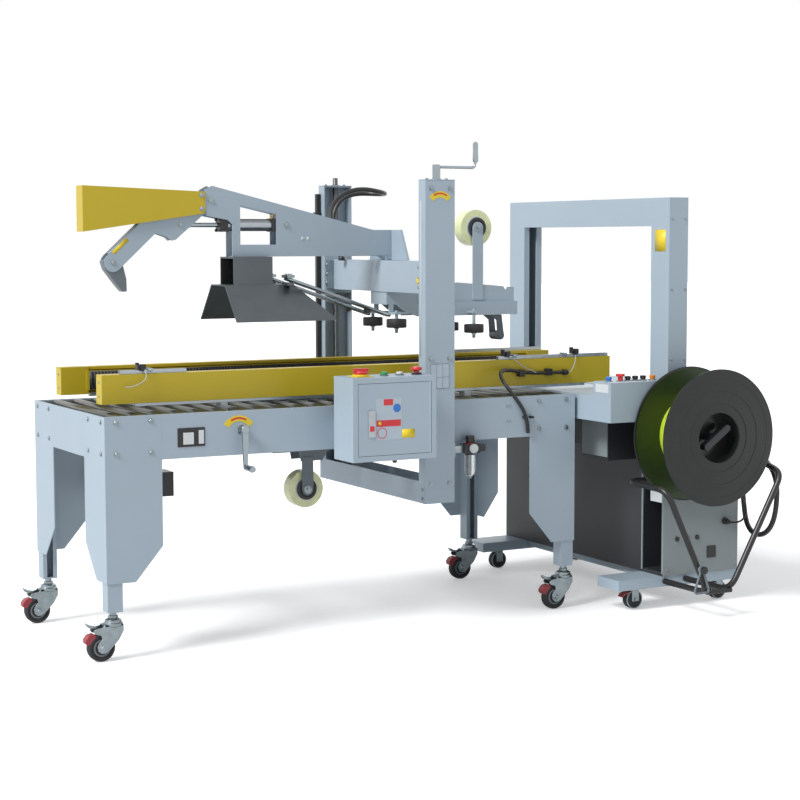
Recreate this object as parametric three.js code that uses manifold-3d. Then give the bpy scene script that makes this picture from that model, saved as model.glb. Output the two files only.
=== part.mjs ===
// Carton sealing and strapping line: an adjustable side-belt carton sealer that folds the top flaps and tapes
// the top and bottom seams, with an arch strapping station at its outfeed end.
// Millimetres. X runs along the carton's travel, Y from the operator's side (-) to the back (+), Z up from the
// floor. Lengths along X are counted from the infeed end of the bed, widths along Y from the centre plane.
// The last lines move the whole line so that its origin is at the bottom centre of its outer box.
import * as THREE from "three";
import { mergeVertices } from "three/addons/utils/BufferGeometryUtils.js";
import Module from "manifold-3d";

const wasm = await Module();
wasm.setup();

// ---------------------------------------------------------------- driving dimensions

const GAP = 0.3; // between faces that meet
const RUN = 0.4; // around a shaft in its bore

const bed = { length: 1765, width: 723, top: 777, skirt: 143, sheet: 4, flange: 14 };
const leg = { sheet: 3, front: 190, side: 200, foot: 97, bottom: 248, taper: 110 };
const strut = { size: 50, wall: 2.5, slot: 22, bottom: 156, length: 404, floor: 4 };
const caster = { radius: 45, width: 32, trail: 42, stem: 11, disc: 25, axle: 5, plate: 3 };
const roller = { radius: 16, pitch: 72, rise: 2, bar: 20, barHeight: 22, slotHalf: 62, slotBar: 8 };
const mast = { left: 1124, width: 114, depth: 47, wall: 4, bottom: 481, top: 1528.7 };
const tie = { bottom: 429.5, wallTop: 504, wall: 4 };
const screw = { radius: 10, rise: 31 };
const heightCrank = { hub: 14, hubTop: 1582, reach: 154, rod: 5, armZ: 1574, grip: 10, gripTop: 1662 };
const widthCrank = { x: 464, z: 719, shaft: 9, hub: 14, arm: 124, reach: 30, grip: 11, gripLength: 64 };
const drive = { start: 38, past: 241, bottom: 805, top: 899.5, thick: 57, opening: 352 };
const driveShell = { sheet: 3, wrap: 98, postClear: 8, nut: 46, nutWall: 6, guide: 10 };
const beam = { left: 1157, width: 56, bottom: 1145, top: 1256, sheet: 4, block: 140 };
const boom = { half: 28, sheet: 3, tip: 484, bend: 1125, end: 1201, bottom: 1272, top: 1512 };
const kicker = { x: 504, z: 1463, half: 20, sheet: 3, elbowX: 158, elbowZ: 1255, endRadius: 31, pin: 6 };
const cylinder = { z: 1380, radius: 19, front: 553, rear: 750, rod: 8, pinX: 787, lugX: 398 };
const guard = { left: 53, right: 483.5, half: 31.5, sheet: 3 };
const plough = { left: 540, right: 912, bottom: 1053, ridge: 1177, ridgeHalf: 60, skirtHalf: 161, sheet: 4 };
const ploughNeck = { left: 574, right: 719, half: 58, wall: 4 };
const flapRod = { radius: 6, startX: 771, startZ: 1187, endX: 1160, endZ: 1062, inner: 64, spread: 26 };
const tapeRoll = { radius: 66, width: 48, core: 38, plane: -7.5 };
const head = { left: 1195, right: 1710, half: 60, bottom: 1054, top: 1103, plateTop: 1174, plateHalf: 41.5 };
const topRoll = { x: 1549, z: 1372, arm: 43 };
const rollerArm = { x: 1600, z: 1080, wheelX: 1657, wheelZ: 976, radius: 17, half: 26, cheek: 4, pin: 6 };
const press = { radius: 36, height: 33, y: 90, entryX: 1185, entryZ: 1017, exitX: 1505, exitZ: 991, pin: 6 };
const lowHead = { left: 662, right: 1228, bottom: 590, top: 745, rollX: 854, rollZ: 456 };
const motor = { left: 190, right: 447, y: 240, z: 474, radius: 43 };
const box = { left: 762, width: 308, depth: 138, bottom: 611, top: 884, sheet: 3, standOff: 78, frame: 18 };
const button = { spacing: 74, radius: 11, stem: 6 };
const stopKnob = { radius: 19, stem: 9 };
const regulator = { fromMast: 74, out: 26.5, top: 655, bottom: 505 };

// The strapping station is drawn along X from its own infeed edge.
const station = { fromBed: 14, length: 620, margin: 31, apron: 89, sheet: 4 };
const console_ = { length: 250, depth: 108, height: 52 };
const cabinet = { left: 256, right: 593, inset: 32, bottom: 117.3, recess: 120, recessDepth: 110 };
const foot = { left: 64, width: 132, bottom: 80, casterInset: 107, wheel: 34, wheelWidth: 28 };
const arch = { left: 269, depth: 82, inner: 850, rise: 600, post: 107.5, head: 100, slot: 34, lip: 8 };
const reel = { x: 333, z: 636, radius: 241, out: 8, width: 175, flange: 5, coil: 132, recess: 91 };
const reelAxle = { radius: 15, handle: 118, handleWidth: 24 };
const reelGuard = { radius: 11, out: 25, bend: 45 };
const dancer = { x: 230, z: 186, pin: 8, stand: 30, wire: 4, eye: 14, drop: 82, spread: 34 };

const halfBed = bed.width / 2;
const bedBottom = bed.top - bed.skirt;
const skirtOuter = halfBed - leg.sheet - GAP;
const skirtInner = skirtOuter - bed.sheet;
const endOuter = leg.sheet + GAP;
const mastMid = mast.left + mast.width / 2;
const mastInner = halfBed + GAP;
const mastOuter = mastInner + mast.depth;
const screwY = mastInner + (mast.depth - mast.wall) / 2;
const rollerZ = bed.top + roller.rise - roller.radius;
const rollerEnd = skirtInner - bed.flange - 2;
const archRight = arch.left + arch.depth;
const stationHalf = arch.inner / 2 + arch.post + station.margin;
const cabinetHalf = stationHalf - cabinet.inset;
const reelBack = stationHalf + reel.out;
const guardFront = reelBack + reel.width + reelGuard.out;

// ---------------------------------------------------------------- materials

const paint = (color, roughness, metalness = 0) =>
  new THREE.MeshStandardMaterial({ color, roughness, metalness });

const finish = {
  paint: paint(0xa9b8c6, 0.45),
  darkPaint: paint(0x5d6a74, 0.5),
  yellow: paint(0xc7a728, 0.45),
  black: paint(0x24282c, 0.55),
  rubber: paint(0x1b1d1f, 0.8),
  zinc: paint(0xb9c0c4, 0.35, 0.9),
  steel: paint(0x8d9294, 0.3, 0.9),
  chrome: paint(0xd4d8da, 0.12, 1),
  aluminium: paint(0xb5babd, 0.4, 0.9),
  tape: paint(0xdfe2a8, 0.3),
  red: paint(0xb52a32, 0.4),
  green: paint(0x1f9a4a, 0.4),
  white: paint(0xe6e8e6, 0.4),
  greyPanel: paint(0x78828a, 0.5),
};

// ---------------------------------------------------------------- solids

const X = new THREE.Vector3(1, 0, 0);
const Y = new THREE.Vector3(0, 1, 0);
const Z = new THREE.Vector3(0, 0, 1);
const planes = { xy: [X, Y, Z], yz: [Y, Z, X], xz: [X, Z, Y.clone().negate()] };

// Corners are rounded to a micrometre, so that faces which share a plane share it exactly.
function solid(geometry) {
  const bare = geometry.clone();
  bare.deleteAttribute("normal");
  bare.deleteAttribute("uv");
  const corners = bare.attributes.position.array;
  corners.forEach((value, i) => {
    corners[i] = Math.round(value * 1000) / 1000;
  });
  const merged = mergeVertices(bare, 1e-4);
  const mesh = new wasm.Mesh({
    numProp: 3,
    vertProperties: merged.attributes.position.array,
    triVerts: new Uint32Array(merged.index.array),
  });
  return new wasm.Manifold(mesh);
}

function join(...solids) {
  return solids.flat().reduce((whole, next) => whole.add(next));
}

function cut(body, ...tools) {
  return tools.flat().reduce((rest, tool) => rest.subtract(tool), body);
}

// A block between two values on each axis, given in either order.
function block(x0, x1, y0, y1, z0, z1) {
  const geometry = new THREE.BoxGeometry(Math.abs(x1 - x0), Math.abs(y1 - y0), Math.abs(z1 - z0));
  geometry.translate((x0 + x1) / 2, (y0 + y1) / 2, (z0 + z1) / 2);
  return solid(geometry);
}

// A round bar along an axis; a and b are its place on the other two axes, in X, Y, Z order.
function rod(axis, radius, from, to, a, b, sides = 24) {
  const geometry = new THREE.CylinderGeometry(radius, radius, Math.abs(to - from), sides);
  const middle = (from + to) / 2;
  if (axis === "x") geometry.rotateZ(Math.PI / 2).translate(middle, a, b);
  if (axis === "y") geometry.translate(a, middle, b);
  if (axis === "z") geometry.rotateX(Math.PI / 2).translate(a, b, middle);
  return solid(geometry);
}

// A plate with the given outline in a plane, from one value to another across it.
function slab(plane, outline, from, to, holes = []) {
  const asPath = (points) => points.map(([u, v]) => new THREE.Vector2(u, v));
  const shape = outline.isShape ? outline : new THREE.Shape(asPath(outline));
  holes.forEach((hole) => shape.holes.push(new THREE.Path(asPath(hole))));
  const low = Math.min(from, to);
  const high = Math.max(from, to);
  const settings = { depth: high - low, bevelEnabled: false, curveSegments: 6 };
  const geometry = new THREE.ExtrudeGeometry(shape, settings);
  geometry.applyMatrix4(new THREE.Matrix4().makeBasis(...planes[plane]));
  const across = { xy: [0, 0, low], yz: [low, 0, 0], xz: [0, high, 0] }[plane];
  geometry.translate(...across);
  return solid(geometry);
}

// A turned piece about an axis along Y, from [radius, y] points that start and end on the axis or close.
function turned(profile, x, z, segments = 32) {
  const points = profile.map(([radius, y]) => new THREE.Vector2(radius, y));
  const geometry = new THREE.LatheGeometry(points, segments);
  geometry.translate(x, 0, z);
  const made = solid(geometry);
  return made.volume() < 0 ? solid(flipped(geometry)) : made;
}

function flipped(geometry) {
  const turnedBack = geometry.clone();
  const index = turnedBack.index.array;
  for (let i = 0; i < index.length; i += 3) {
    const second = index[i + 1];
    index[i + 1] = index[i + 2];
    index[i + 2] = second;
  }
  return turnedBack;
}

// A bent round tube through the points, with its corners rounded.
function bentTube(corners, radius, bend, sides = 10) {
  const points = corners.map((corner) => new THREE.Vector3(...corner));
  const path = new THREE.CurvePath();
  let from = points[0];
  for (let i = 1; i < points.length - 1; i += 1) {
    const corner = points[i];
    const back = points[i - 1].clone().sub(corner);
    const onward = points[i + 1].clone().sub(corner);
    const reach = Math.min(bend, back.length() / 2.1, onward.length() / 2.1);
    const enter = corner.clone().addScaledVector(back.normalize(), reach);
    const leave = corner.clone().addScaledVector(onward.normalize(), reach);
    path.add(new THREE.LineCurve3(from, enter));
    path.add(new THREE.QuadraticBezierCurve3(enter, corner, leave));
    from = leave;
  }
  path.add(new THREE.LineCurve3(from, points[points.length - 1]));
  const section = new THREE.Shape();
  section.absarc(0, 0, radius, 0, Math.PI * 2);
  const steps = Math.ceil(path.getLength() / (radius * 4.5));
  const settings = { steps, extrudePath: path, curveSegments: sides / 2, bevelEnabled: false };
  return solid(new THREE.ExtrudeGeometry(section, settings));
}

function circle(x, y, radius, sides = 16) {
  const step = (Math.PI * 2) / sides;
  const point = (turn) => [x + radius * Math.cos(turn), y + radius * Math.sin(turn)];
  return Array.from({ length: sides }, (_, i) => point(i * step));
}

const part = new THREE.Group();

// Turns a finished solid into a named mesh of the line.
function add(name, shape, material, parent = part) {
  const { vertProperties, triVerts, numProp } = shape.asOriginal().simplify(0.01).getMesh();
  const geometry = new THREE.BufferGeometry();
  const position = new Float32Array((vertProperties.length / numProp) * 3);
  for (let i = 0; i < position.length / 3; i += 1) {
    position.set(vertProperties.subarray(i * numProp, i * numProp + 3), i * 3);
  }
  geometry.setAttribute("position", new THREE.BufferAttribute(position, 3));
  geometry.setIndex(new THREE.BufferAttribute(new Uint32Array(triVerts), 1));
  geometry.computeVertexNormals();
  const mesh = new THREE.Mesh(geometry, material);
  mesh.name = name;
  parent.add(mesh);
  return mesh;
}

const sides = { front: -1, back: 1 };

// ---------------------------------------------------------------- bed

const rollerStart = widthCrank.x + roller.pitch / 2;
const slideSpan = 936;
const guideX = widthCrank.x + roller.pitch * Math.round(slideSpan / roller.pitch);
const crossMembers = [300, lowHead.left - 22, lowHead.right + 22, bed.length - 165];

function bedFrame() {
  const pieces = [];
  for (const side of Object.values(sides)) {
    const x0 = endOuter;
    const x1 = bed.length - endOuter;
    pieces.push(block(x0, x1, side * skirtInner, side * skirtOuter, bedBottom, bed.top));
    const lipEdge = side * (skirtInner - bed.flange);
    pieces.push(block(x0, x1, lipEdge, side * skirtOuter, bed.top - bed.sheet, bed.top));
  }
  for (const x of [endOuter, bed.length - endOuter - bed.sheet]) {
    pieces.push(block(x, x + bed.sheet, -skirtOuter, skirtOuter, bedBottom, bed.top));
  }
  for (const side of Object.values(sides)) {
    const reach = leg.front + GAP;
    pieces.push(block(reach, bed.length - reach, side * (skirtOuter - 1), side * halfBed, bedBottom, bed.top));
  }
  const endSkin = halfBed - leg.side - GAP;
  pieces.push(block(0, endOuter + 1, -endSkin, endSkin, bedBottom, bed.top));
  pieces.push(block(bed.length - endOuter - 1, bed.length, -endSkin, endSkin, bedBottom, bed.top));
  for (const x of crossMembers) {
    const member = block(x - 20, x + 20, -skirtOuter, skirtOuter, bedBottom + 6, bedBottom + 56);
    pieces.push(cut(member, block(x - 17, x + 17, -skirtInner, skirtInner, bedBottom, bedBottom + 53)));
  }
  pieces.push(rod("y", driveShell.guide, -skirtOuter + 1, skirtOuter - 1, guideX, widthCrank.z, 16));
  const shaftHole = rod("y", widthCrank.shaft + RUN, -halfBed - 2, halfBed + 2, widthCrank.x, widthCrank.z, 20);
  const whole = join(pieces);
  const skirtsOnly = [sides.front, sides.back].map((side) =>
    shaftHole.intersect(
      block(0, bed.length, side * (skirtInner - 1), side * (halfBed + 1), bedBottom, bed.top),
    ),
  );
  return cut(whole, skirtsOnly);
}

// Rollers in two side bars; where the lower tape head comes up, each is split in two shorter rollers.
function rollerBed() {
  const pieces = [];
  const barTop = bed.top - bed.sheet - GAP;
  const barOuter = skirtInner - GAP;
  for (const side of Object.values(sides)) {
    const x0 = endOuter + bed.sheet + GAP;
    const barInner = side * (barOuter - roller.bar);
    pieces.push(block(x0, bed.length - x0, barInner, side * barOuter, barTop - roller.barHeight, barTop));
  }
  const split = [];
  const whole = [];
  const endClear = 40;
  const first = rollerStart - Math.floor((rollerStart - endClear) / roller.pitch) * roller.pitch;
  for (let x = first; x <= bed.length - endClear; x += roller.pitch) {
    const overHead = x + roller.radius > lowHead.left - 20 && x - roller.radius < lowHead.right + 20;
    (overHead ? split : whole).push(x);
  }
  const low = whole.filter((x) => x < lowHead.left).at(-1);
  const high = whole.find((x) => x > lowHead.right);
  for (const side of Object.values(sides)) {
    const inner = side * (roller.slotHalf - roller.slotBar);
    pieces.push(block(low, high, inner, side * roller.slotHalf, rollerZ - 12, rollerZ + 9));
    for (const x of split) {
      pieces.push(rod("y", roller.radius, side * (roller.slotHalf - 1), side * rollerEnd, x, rollerZ, 10));
    }
  }
  for (const x of whole) {
    pieces.push(rod("y", roller.radius, -rollerEnd, rollerEnd, x, rollerZ, 10));
  }
  return join(pieces);
}

// ---------------------------------------------------------------- legs and casters

// Corner pieces are drawn for the front infeed corner, from the bed's outer corner inwards.
function legSheet() {
  const outline = (reach) => [
    [0, bed.top],
    [reach, bed.top],
    [reach, leg.bottom + leg.taper],
    [leg.foot, leg.bottom],
    [0, leg.bottom],
  ];
  return join(slab("xz", outline(leg.front), 0, leg.sheet), slab("yz", outline(leg.side), 0, leg.sheet));
}

function legStrut() {
  const { size, wall, slot, bottom, length, floor } = strut;
  const lip = (size - slot) / 2;
  const start = leg.sheet + GAP;
  const channel = [
    [0, 0],
    [size, 0],
    [size, size],
    [size - lip, size],
    [size - lip, size - wall],
    [size - wall, size - wall],
    [size - wall, wall],
    [wall, wall],
    [wall, size - wall],
    [lip, size - wall],
    [lip, size],
    [0, size],
  ].map(([u, v]) => [u + start, v + start]);
  return join(
    slab("xy", channel, bottom, bottom + length),
    block(start, start + size, start, start + size, bottom, bottom + floor),
  );
}

const stemInset = leg.sheet + GAP + strut.size / 2;

function casterFork() {
  const { radius, width, trail, stem, disc, axle, plate } = caster;
  const inside = width / 2 + 2.5;
  const crown = 2 * radius + 22;
  const shoulder = crown + 8;
  const cheek = [
    [disc - 3, shoulder],
    [disc - 5, shoulder - 16],
    [-trail + 16, radius - 9],
    [-trail, radius - 15],
    [-trail - 16, radius - 9],
    [-trail - 18, radius + 13],
    [-disc - 4, shoulder],
  ];
  const top = strut.bottom - GAP;
  return join(
    rod("z", stem, crown + 8, top, 0, 0, 14),
    rod("z", disc, crown, crown + 16, 0, 0, 20),
    block(-disc - 4, disc - 3, -inside - plate, inside + plate, crown, shoulder),
    slab("xz", cheek, inside, inside + plate),
    slab("xz", cheek, -inside - plate, -inside),
    rod("y", axle, -inside - 3, inside + 3, -trail, radius, 12),
  );
}

function casterWheel() {
  const { radius, width, axle, trail } = caster;
  const half = width / 2;
  const tread = [
    [axle + RUN, -half],
    [radius * 0.36, -half],
    [radius * 0.4, -half + 4],
    [radius * 0.74, -half + 4],
    [radius * 0.8, -half + 1],
    [radius * 0.95, -half + 2],
    [radius, -half + 8],
    [radius, half - 8],
    [radius * 0.95, half - 2],
    [radius * 0.8, half - 1],
    [radius * 0.74, half - 4],
    [radius * 0.4, half - 4],
    [radius * 0.36, half],
    [axle + RUN, half],
    [axle + RUN, -half],
  ];
  return turned(tread, -trail, radius, 20);
}

function corners() {
  const sheet = legSheet();
  const post = legStrut();
  const fork = casterFork();
  const wheel = casterWheel();
  for (const [sideName, side] of Object.entries(sides)) {
    for (const [endName, end] of [["left", 1], ["right", -1]]) {
      const name = `${sideName}_${endName}`;
      const corner = new THREE.Group();
      corner.position.set(end > 0 ? 0 : bed.length, side * halfBed, 0);
      corner.scale.set(end, -side, 1);
      part.add(corner);
      add(`leg_${name}`, sheet, finish.paint, corner);
      add(`leg_tube_${name}`, post, finish.paint, corner);
      const pivot = new THREE.Group();
      pivot.position.set((end > 0 ? stemInset : bed.length - stemInset), side * (halfBed - stemInset), 0);
      part.add(pivot);
      add(`caster_fork_${name}`, fork, finish.zinc, pivot);
      add(`caster_wheel_${name}`, wheel, finish.rubber, pivot);
    }
  }
}

// ---------------------------------------------------------------- masts and lift

// A mast is a channel that opens towards the bed, capped at both ends; the caps hold the lead screw.
function mastChannel(side) {
  const x0 = mast.left;
  const x1 = mast.left + mast.width;
  const outer = side * mastOuter;
  const inner = side * mastInner;
  const hole = rod("z", screw.radius + RUN, mast.top - mast.wall - 1, mast.top + 1, mastMid, side * screwY, 20);
  const body = join(
    block(x0, x1, outer, outer - side * mast.wall, mast.bottom, mast.top),
    block(x0, x0 + mast.wall, outer, inner, mast.bottom, mast.top),
    block(x1 - mast.wall, x1, outer, inner, mast.bottom, mast.top),
    block(x0, x1, outer, inner, mast.bottom, mast.bottom + mast.wall),
    block(x0, x1, outer, inner, mast.top - mast.wall, mast.top),
  );
  return cut(body, hole);
}

function tieChannel() {
  const x0 = mast.left;
  const x1 = mast.left + mast.width;
  const underMast = mast.bottom - GAP;
  const body = block(x0, x1, -mastOuter, mastOuter, tie.bottom, underMast);
  const wallAt = (x) => block(x, x + tie.wall, -halfBed, halfBed, tie.bottom, tie.wallTop);
  const walls = [x0, x1 - tie.wall].map(wallAt);
  const reach = mastOuter - tie.wall;
  const trough = block(x0 + tie.wall, x1 - tie.wall, -reach, reach, tie.bottom + tie.wall, tie.wallTop + 1);
  return join(cut(body, trough), walls);
}

function leadScrew(side) {
  const top = mast.top + screw.rise;
  return rod("z", screw.radius, mast.bottom + mast.wall + GAP, top, mastMid, side * screwY, 16);
}

// The crank's hub is pinned to the end of the front screw, and the two are one solid.
function heightCrankPiece() {
  const { hub, hubTop, reach, rod: radius, armZ, grip, gripTop } = heightCrank;
  const y = -screwY;
  const gripX = mastMid + reach;
  return join(
    leadScrew(sides.front),
    rod("z", hub, mast.top + GAP, hubTop, mastMid, y, 20),
    rod("x", radius, mastMid + hub - 3, gripX + radius, y, armZ, 12),
    rod("z", radius, armZ - radius, armZ + 22, gripX, y, 12),
    rod("z", grip, armZ + 20, gripTop, gripX, y, 16),
  );
}

function crossBeam() {
  const { left, width, bottom, top, sheet, block: carriage } = beam;
  const middle = (bottom + top) / 2;
  const end = mastInner - 1;
  const pieces = [
    block(left, left + sheet, -end, end, bottom, top),
    block(left, left + width, -end, end, bottom, bottom + sheet),
    block(left, left + width, -end, end, top - sheet, top),
  ];
  for (const side of Object.values(sides)) {
    const runX = mast.left + mast.wall + RUN;
    const slider = block(
      runX, 2 * mastMid - runX,
      side * (mastInner - 3), side * (mastOuter - mast.wall - RUN),
      middle - carriage / 2, middle + carriage / 2,
    );
    const slim = rod("z", screw.radius + RUN, middle - carriage, middle + carriage, mastMid, side * screwY, 20);
    const coreLow = mast.left + 34;
    const coreHigh = mast.left + mast.width - 34;
    const pocketAt = (x) =>
      block(x, x + 19, side * (mastInner + 6), side * mastOuter, middle - 58, middle + 58);
    const pockets = [coreLow - 22, coreHigh + 3].map(pocketAt);
    const flangeTop = block(left, left + width, side * (mastInner - 14), side * (mastInner - 1), bottom, top);
    pieces.push(cut(slider, slim, pockets), flangeTop);
  }
  return join(pieces);
}

// ---------------------------------------------------------------- boom and flap kicker

const slopeAt = (from, to, x) => from[1] + ((to[1] - from[1]) * (x - from[0])) / (to[0] - from[0]);

function boomPiece() {
  const { half, sheet, tip, bend, end, bottom, top } = boom;
  const crest = [tip + 26, top];
  const saddle = [bend, 1364];
  const outline = [
    [tip, top - 14],
    crest,
    saddle,
    [end, saddle[1]],
    [end, beam.top + GAP],
    [end - 36, bottom],
    [583, bottom],
    [583, 1382],
    [567, 1397],
    [tip + 4, 1411],
  ];
  const opening = [
    [613, slopeAt(crest, saddle, 613) - 40],
    [613, 1313],
    [748, 1313],
    [748, slopeAt(crest, saddle, 748) - 37],
  ];
  const tongue = [[tip - 42, 1428], [tip + 10, 1424], [tip + 10, 1488], [tip - 42, 1486]];
  const pieces = [];
  for (const side of Object.values(sides)) {
    pieces.push(slab("xz", outline, side * (half - sheet), side * half, [opening]));
    pieces.push(slab("xz", tongue, side * (half - sheet), side * half));
  }
  const inner = half - 1;
  pieces.push(rod("y", kicker.pin, -inner, inner, kicker.x, kicker.z, 16));
  pieces.push(rod("y", kicker.pin, -inner, inner, cylinder.pinX, cylinder.z, 16));
  pieces.push(rod("y", 9, -inner, inner, 900, 1330, 12));
  pieces.push(rod("y", 9, -inner, inner, 1080, 1310, 12));
  pieces.push(block(590, 720, -inner, inner, bottom, bottom + sheet));
  const pedestal = [
    [-91.5, saddle[1]],
    [-144.5, beam.top + GAP],
    [144.5, beam.top + GAP],
    [91.5, saddle[1]],
  ];
  pieces.push(slab("yz", pedestal, end - 1, end + 8));
  return join(pieces);
}

// The guard is a sheet hood, open below, over the space that the raised kicker arm fills.
function kickerGuard() {
  const { left, right, half, sheet } = guard;
  const roof = (x) => slopeAt([left, 1508], [right, 1492], x);
  const hem = (x) => slopeAt([left, 1357], [right, 1419], x);
  const outer = [[left, hem(left)], [right, hem(right)], [right, roof(right)], [left, roof(left)]];
  const inLeft = left + sheet;
  const inner = [
    [inLeft, hem(left) - 20],
    [right + 1, hem(right) - 20],
    [right + 1, roof(right) - sheet],
    [inLeft, roof(left) - sheet],
  ];
  const inside = boom.half + GAP;
  return cut(slab("xz", outer, -half, half), slab("xz", inner, -inside, inside));
}

// The kicker arm is a bent channel: two cheeks and a web along its outer edge.
function kickerArm() {
  const { x, z, half, sheet, elbowX, elbowZ, endRadius, pin } = kicker;
  const along = new THREE.Vector2(0.735, 0.678).normalize();
  const off = new THREE.Vector2(-along.y, along.x);
  const beside = (t, s) => [elbowX + along.x * t + off.x * s, elbowZ + along.y * t + off.y * s];
  const roundEnd = [];
  for (let i = 0; i <= 8; i += 1) {
    const turn = Math.atan2(off.y, off.x) + (i * Math.PI) / 8;
    roundEnd.push([elbowX + endRadius * Math.cos(turn), elbowZ + endRadius * Math.sin(turn)]);
  }
  const cheek = [
    ...roundEnd,
    beside(178, -endRadius),
    [354, 1338],
    [366, 1327],
    [380, 1330],
    [476, 1410],
    [x + 17, z - 14],
    [x + 12, z + 17],
    [x - 8, z + 22],
    beside(240, endRadius),
  ];
  const holes = [circle(x, z, pin + RUN), circle(elbowX, elbowZ, 5 + RUN, 12)];
  const webLine = (s) => [beside(12, s), beside(238, s)];
  const [a, b] = webLine(endRadius - sheet);
  const [c, d] = webLine(endRadius);
  const pieces = [slab("xz", [a, b, d, c], -half, half)];
  for (const side of Object.values(sides)) {
    pieces.push(slab("xz", cheek, side * (half - sheet), side * half, holes));
    pieces.push(rod("y", 7, side * (half - sheet - 5), side * half, cylinder.lugX, cylinder.z, 12));
  }
  return join(pieces);
}

function kickerFinger() {
  const { elbowX, elbowZ, half, sheet } = kicker;
  const wide = half - sheet - GAP;
  const outline = [
    [elbowX - 34, elbowZ + 4],
    [elbowX - 26, elbowZ - 22],
    [elbowX + 12, elbowZ - 72],
    [elbowX + 34, elbowZ - 97],
    [elbowX + 48, elbowZ - 96],
    [elbowX + 47, elbowZ - 55],
    [elbowX + 34, elbowZ - 2],
    [elbowX + 12, elbowZ + 18],
    [elbowX - 14, elbowZ + 18],
  ];
  const scoop = [
    [elbowX - 16, elbowZ - 18],
    [elbowX + 18, elbowZ - 64],
    [elbowX + 60, elbowZ - 70],
    [elbowX + 60, elbowZ - 18],
  ];
  const body = slab("xz", outline, -wide, wide);
  const hollow = slab("xz", scoop, -wide + 3, wide - 3);
  return join(cut(body, hollow), rod("y", 5, -half, half, elbowX, elbowZ, 12));
}

function kickerCylinder() {
  const { z, radius, front, rear, rod: rodRadius, pinX } = cylinder;
  const cap = radius + 4;
  const body = join(
    rod("x", radius, front, rear, 0, z, 24),
    block(front - 10, front + 18, -cap, cap, z - cap, z + cap),
    block(rear - 16, rear + 2, -cap, cap, z - cap, z + cap),
    slab("xz", [[rear, z - 14], [pinX + 6, z - 14], [pinX + 14, z], [pinX + 6, z + 14], [rear, z + 14]], -9, 9),
  );
  const bore = rod("x", rodRadius + RUN, front - 20, rear - 24, 0, z, 20);
  const eye = rod("y", kicker.pin + RUN, -12, 12, pinX, z, 16);
  return cut(body, bore, eye);
}

function kickerRod() {
  const { z, rod: radius, lugX, front } = cylinder;
  const eye = 12;
  return join(rod("y", eye, -8, 8, lugX, z, 16), rod("x", radius, lugX, front + 60, 0, z, 16));
}

// ---------------------------------------------------------------- flap plough

function ploughPiece() {
  const { left, right, bottom, ridge, ridgeHalf, skirtHalf, sheet } = plough;
  const noseStart = 793;
  const tent = (shrink) => [
    [-skirtHalf + shrink * 1.3, bottom],
    [skirtHalf - shrink * 1.3, bottom],
    [ridgeHalf - shrink * 0.6, ridge - shrink],
    [-ridgeHalf + shrink * 0.6, ridge - shrink],
  ];
  const profile = (drop) => [
    [left - 1, bottom - 1],
    [right - drop * 2, bottom - 1],
    [right - drop * 2, bottom + 10 - drop],
    [noseStart, ridge + 1 - drop],
    [left - 1, ridge + 1 - drop],
  ];
  const reach = skirtHalf + 1;
  const outer = slab("yz", tent(0), left, right).intersect(slab("xz", profile(0), -reach, reach));
  const hollow = slab("yz", tent(sheet), left - 1, right).intersect(slab("xz", profile(sheet), -reach, reach));
  const mouth = [
    [6 - skirtHalf, bottom - 2],
    [skirtHalf - 6, bottom - 2],
    [skirtHalf - 7, bottom + 1],
    [7 - skirtHalf, bottom + 1],
  ];
  const under = slab("yz", mouth, left - 1, right - 9);
  const { left: neckLeft, right: neckRight, half: neckHalf, wall: neckWall } = ploughNeck;
  const within = neckHalf - neckWall;
  const neck = cut(
    block(neckLeft, neckRight, -neckHalf, neckHalf, ridge - 3, boom.bottom - GAP),
    block(neckLeft - 1, neckRight - neckWall, -within, within, ridge - 10, boom.bottom - 6),
  );
  const { startX: lugX, startZ: rodZ, inner: lugIn } = flapRod;
  const lugs = Object.values(sides).map((side) =>
    block(lugX - 14, lugX + 10, side * (lugIn - 14), side * (lugIn + 34), ridge - 4, rodZ - 3.8),
  );
  return join(cut(outer, hollow, under), neck, lugs);
}

// Each flap rod is a hairpin: out along the flap, round, and back to its clamp.
function flapRodPiece(side) {
  const { radius, startX, startZ, endX, endZ, inner, spread } = flapRod;
  const near = side * inner;
  const far = side * (inner + spread);
  const drop = (x) => slopeAt([startX, startZ + radius + GAP], [endX, endZ], x);
  const hairpin = [
    [startX - 10, near, drop(startX - 10)],
    [endX, near, drop(endX)],
    [endX, far, drop(endX)],
    [startX - 10, far, drop(startX - 10)],
  ];
  return bentTube(hairpin, radius, 13, 8);
}

// ---------------------------------------------------------------- tape heads

// A reel arm: a flat bar beside the roll, with the hub that the roll turns on.
function rollArm(x, z, towards, root) {
  const half = topRoll.arm / 2;
  const near = tapeRoll.plane - tapeRoll.width / 2;
  const far = tapeRoll.plane + tapeRoll.width / 2;
  const plate = -head.plateHalf - 4;
  const arc = Array.from({ length: 9 }, (_, i) => {
    const turn = (i * Math.PI) / 8;
    return [x + half * Math.cos(turn), z + towards * half * Math.sin(turn)];
  });
  const bar = slab("xz", [[x + half, root], ...arc, [x - half, root]], plate, plate + 4.5);
  return join(
    bar,
    rod("y", 12, plate + 2, near, x, z, 16),
    rod("y", tapeRoll.core - RUN, near - 4, far, x, z, 32),
  );
}

function tapeRing(x, z) {
  const near = tapeRoll.plane - tapeRoll.width / 2 + GAP;
  const far = tapeRoll.plane + tapeRoll.width / 2;
  const { core, radius } = tapeRoll;
  return turned([[core, near], [radius, near], [radius, far], [core, far], [core, near]], x, z, 36);
}

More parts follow.
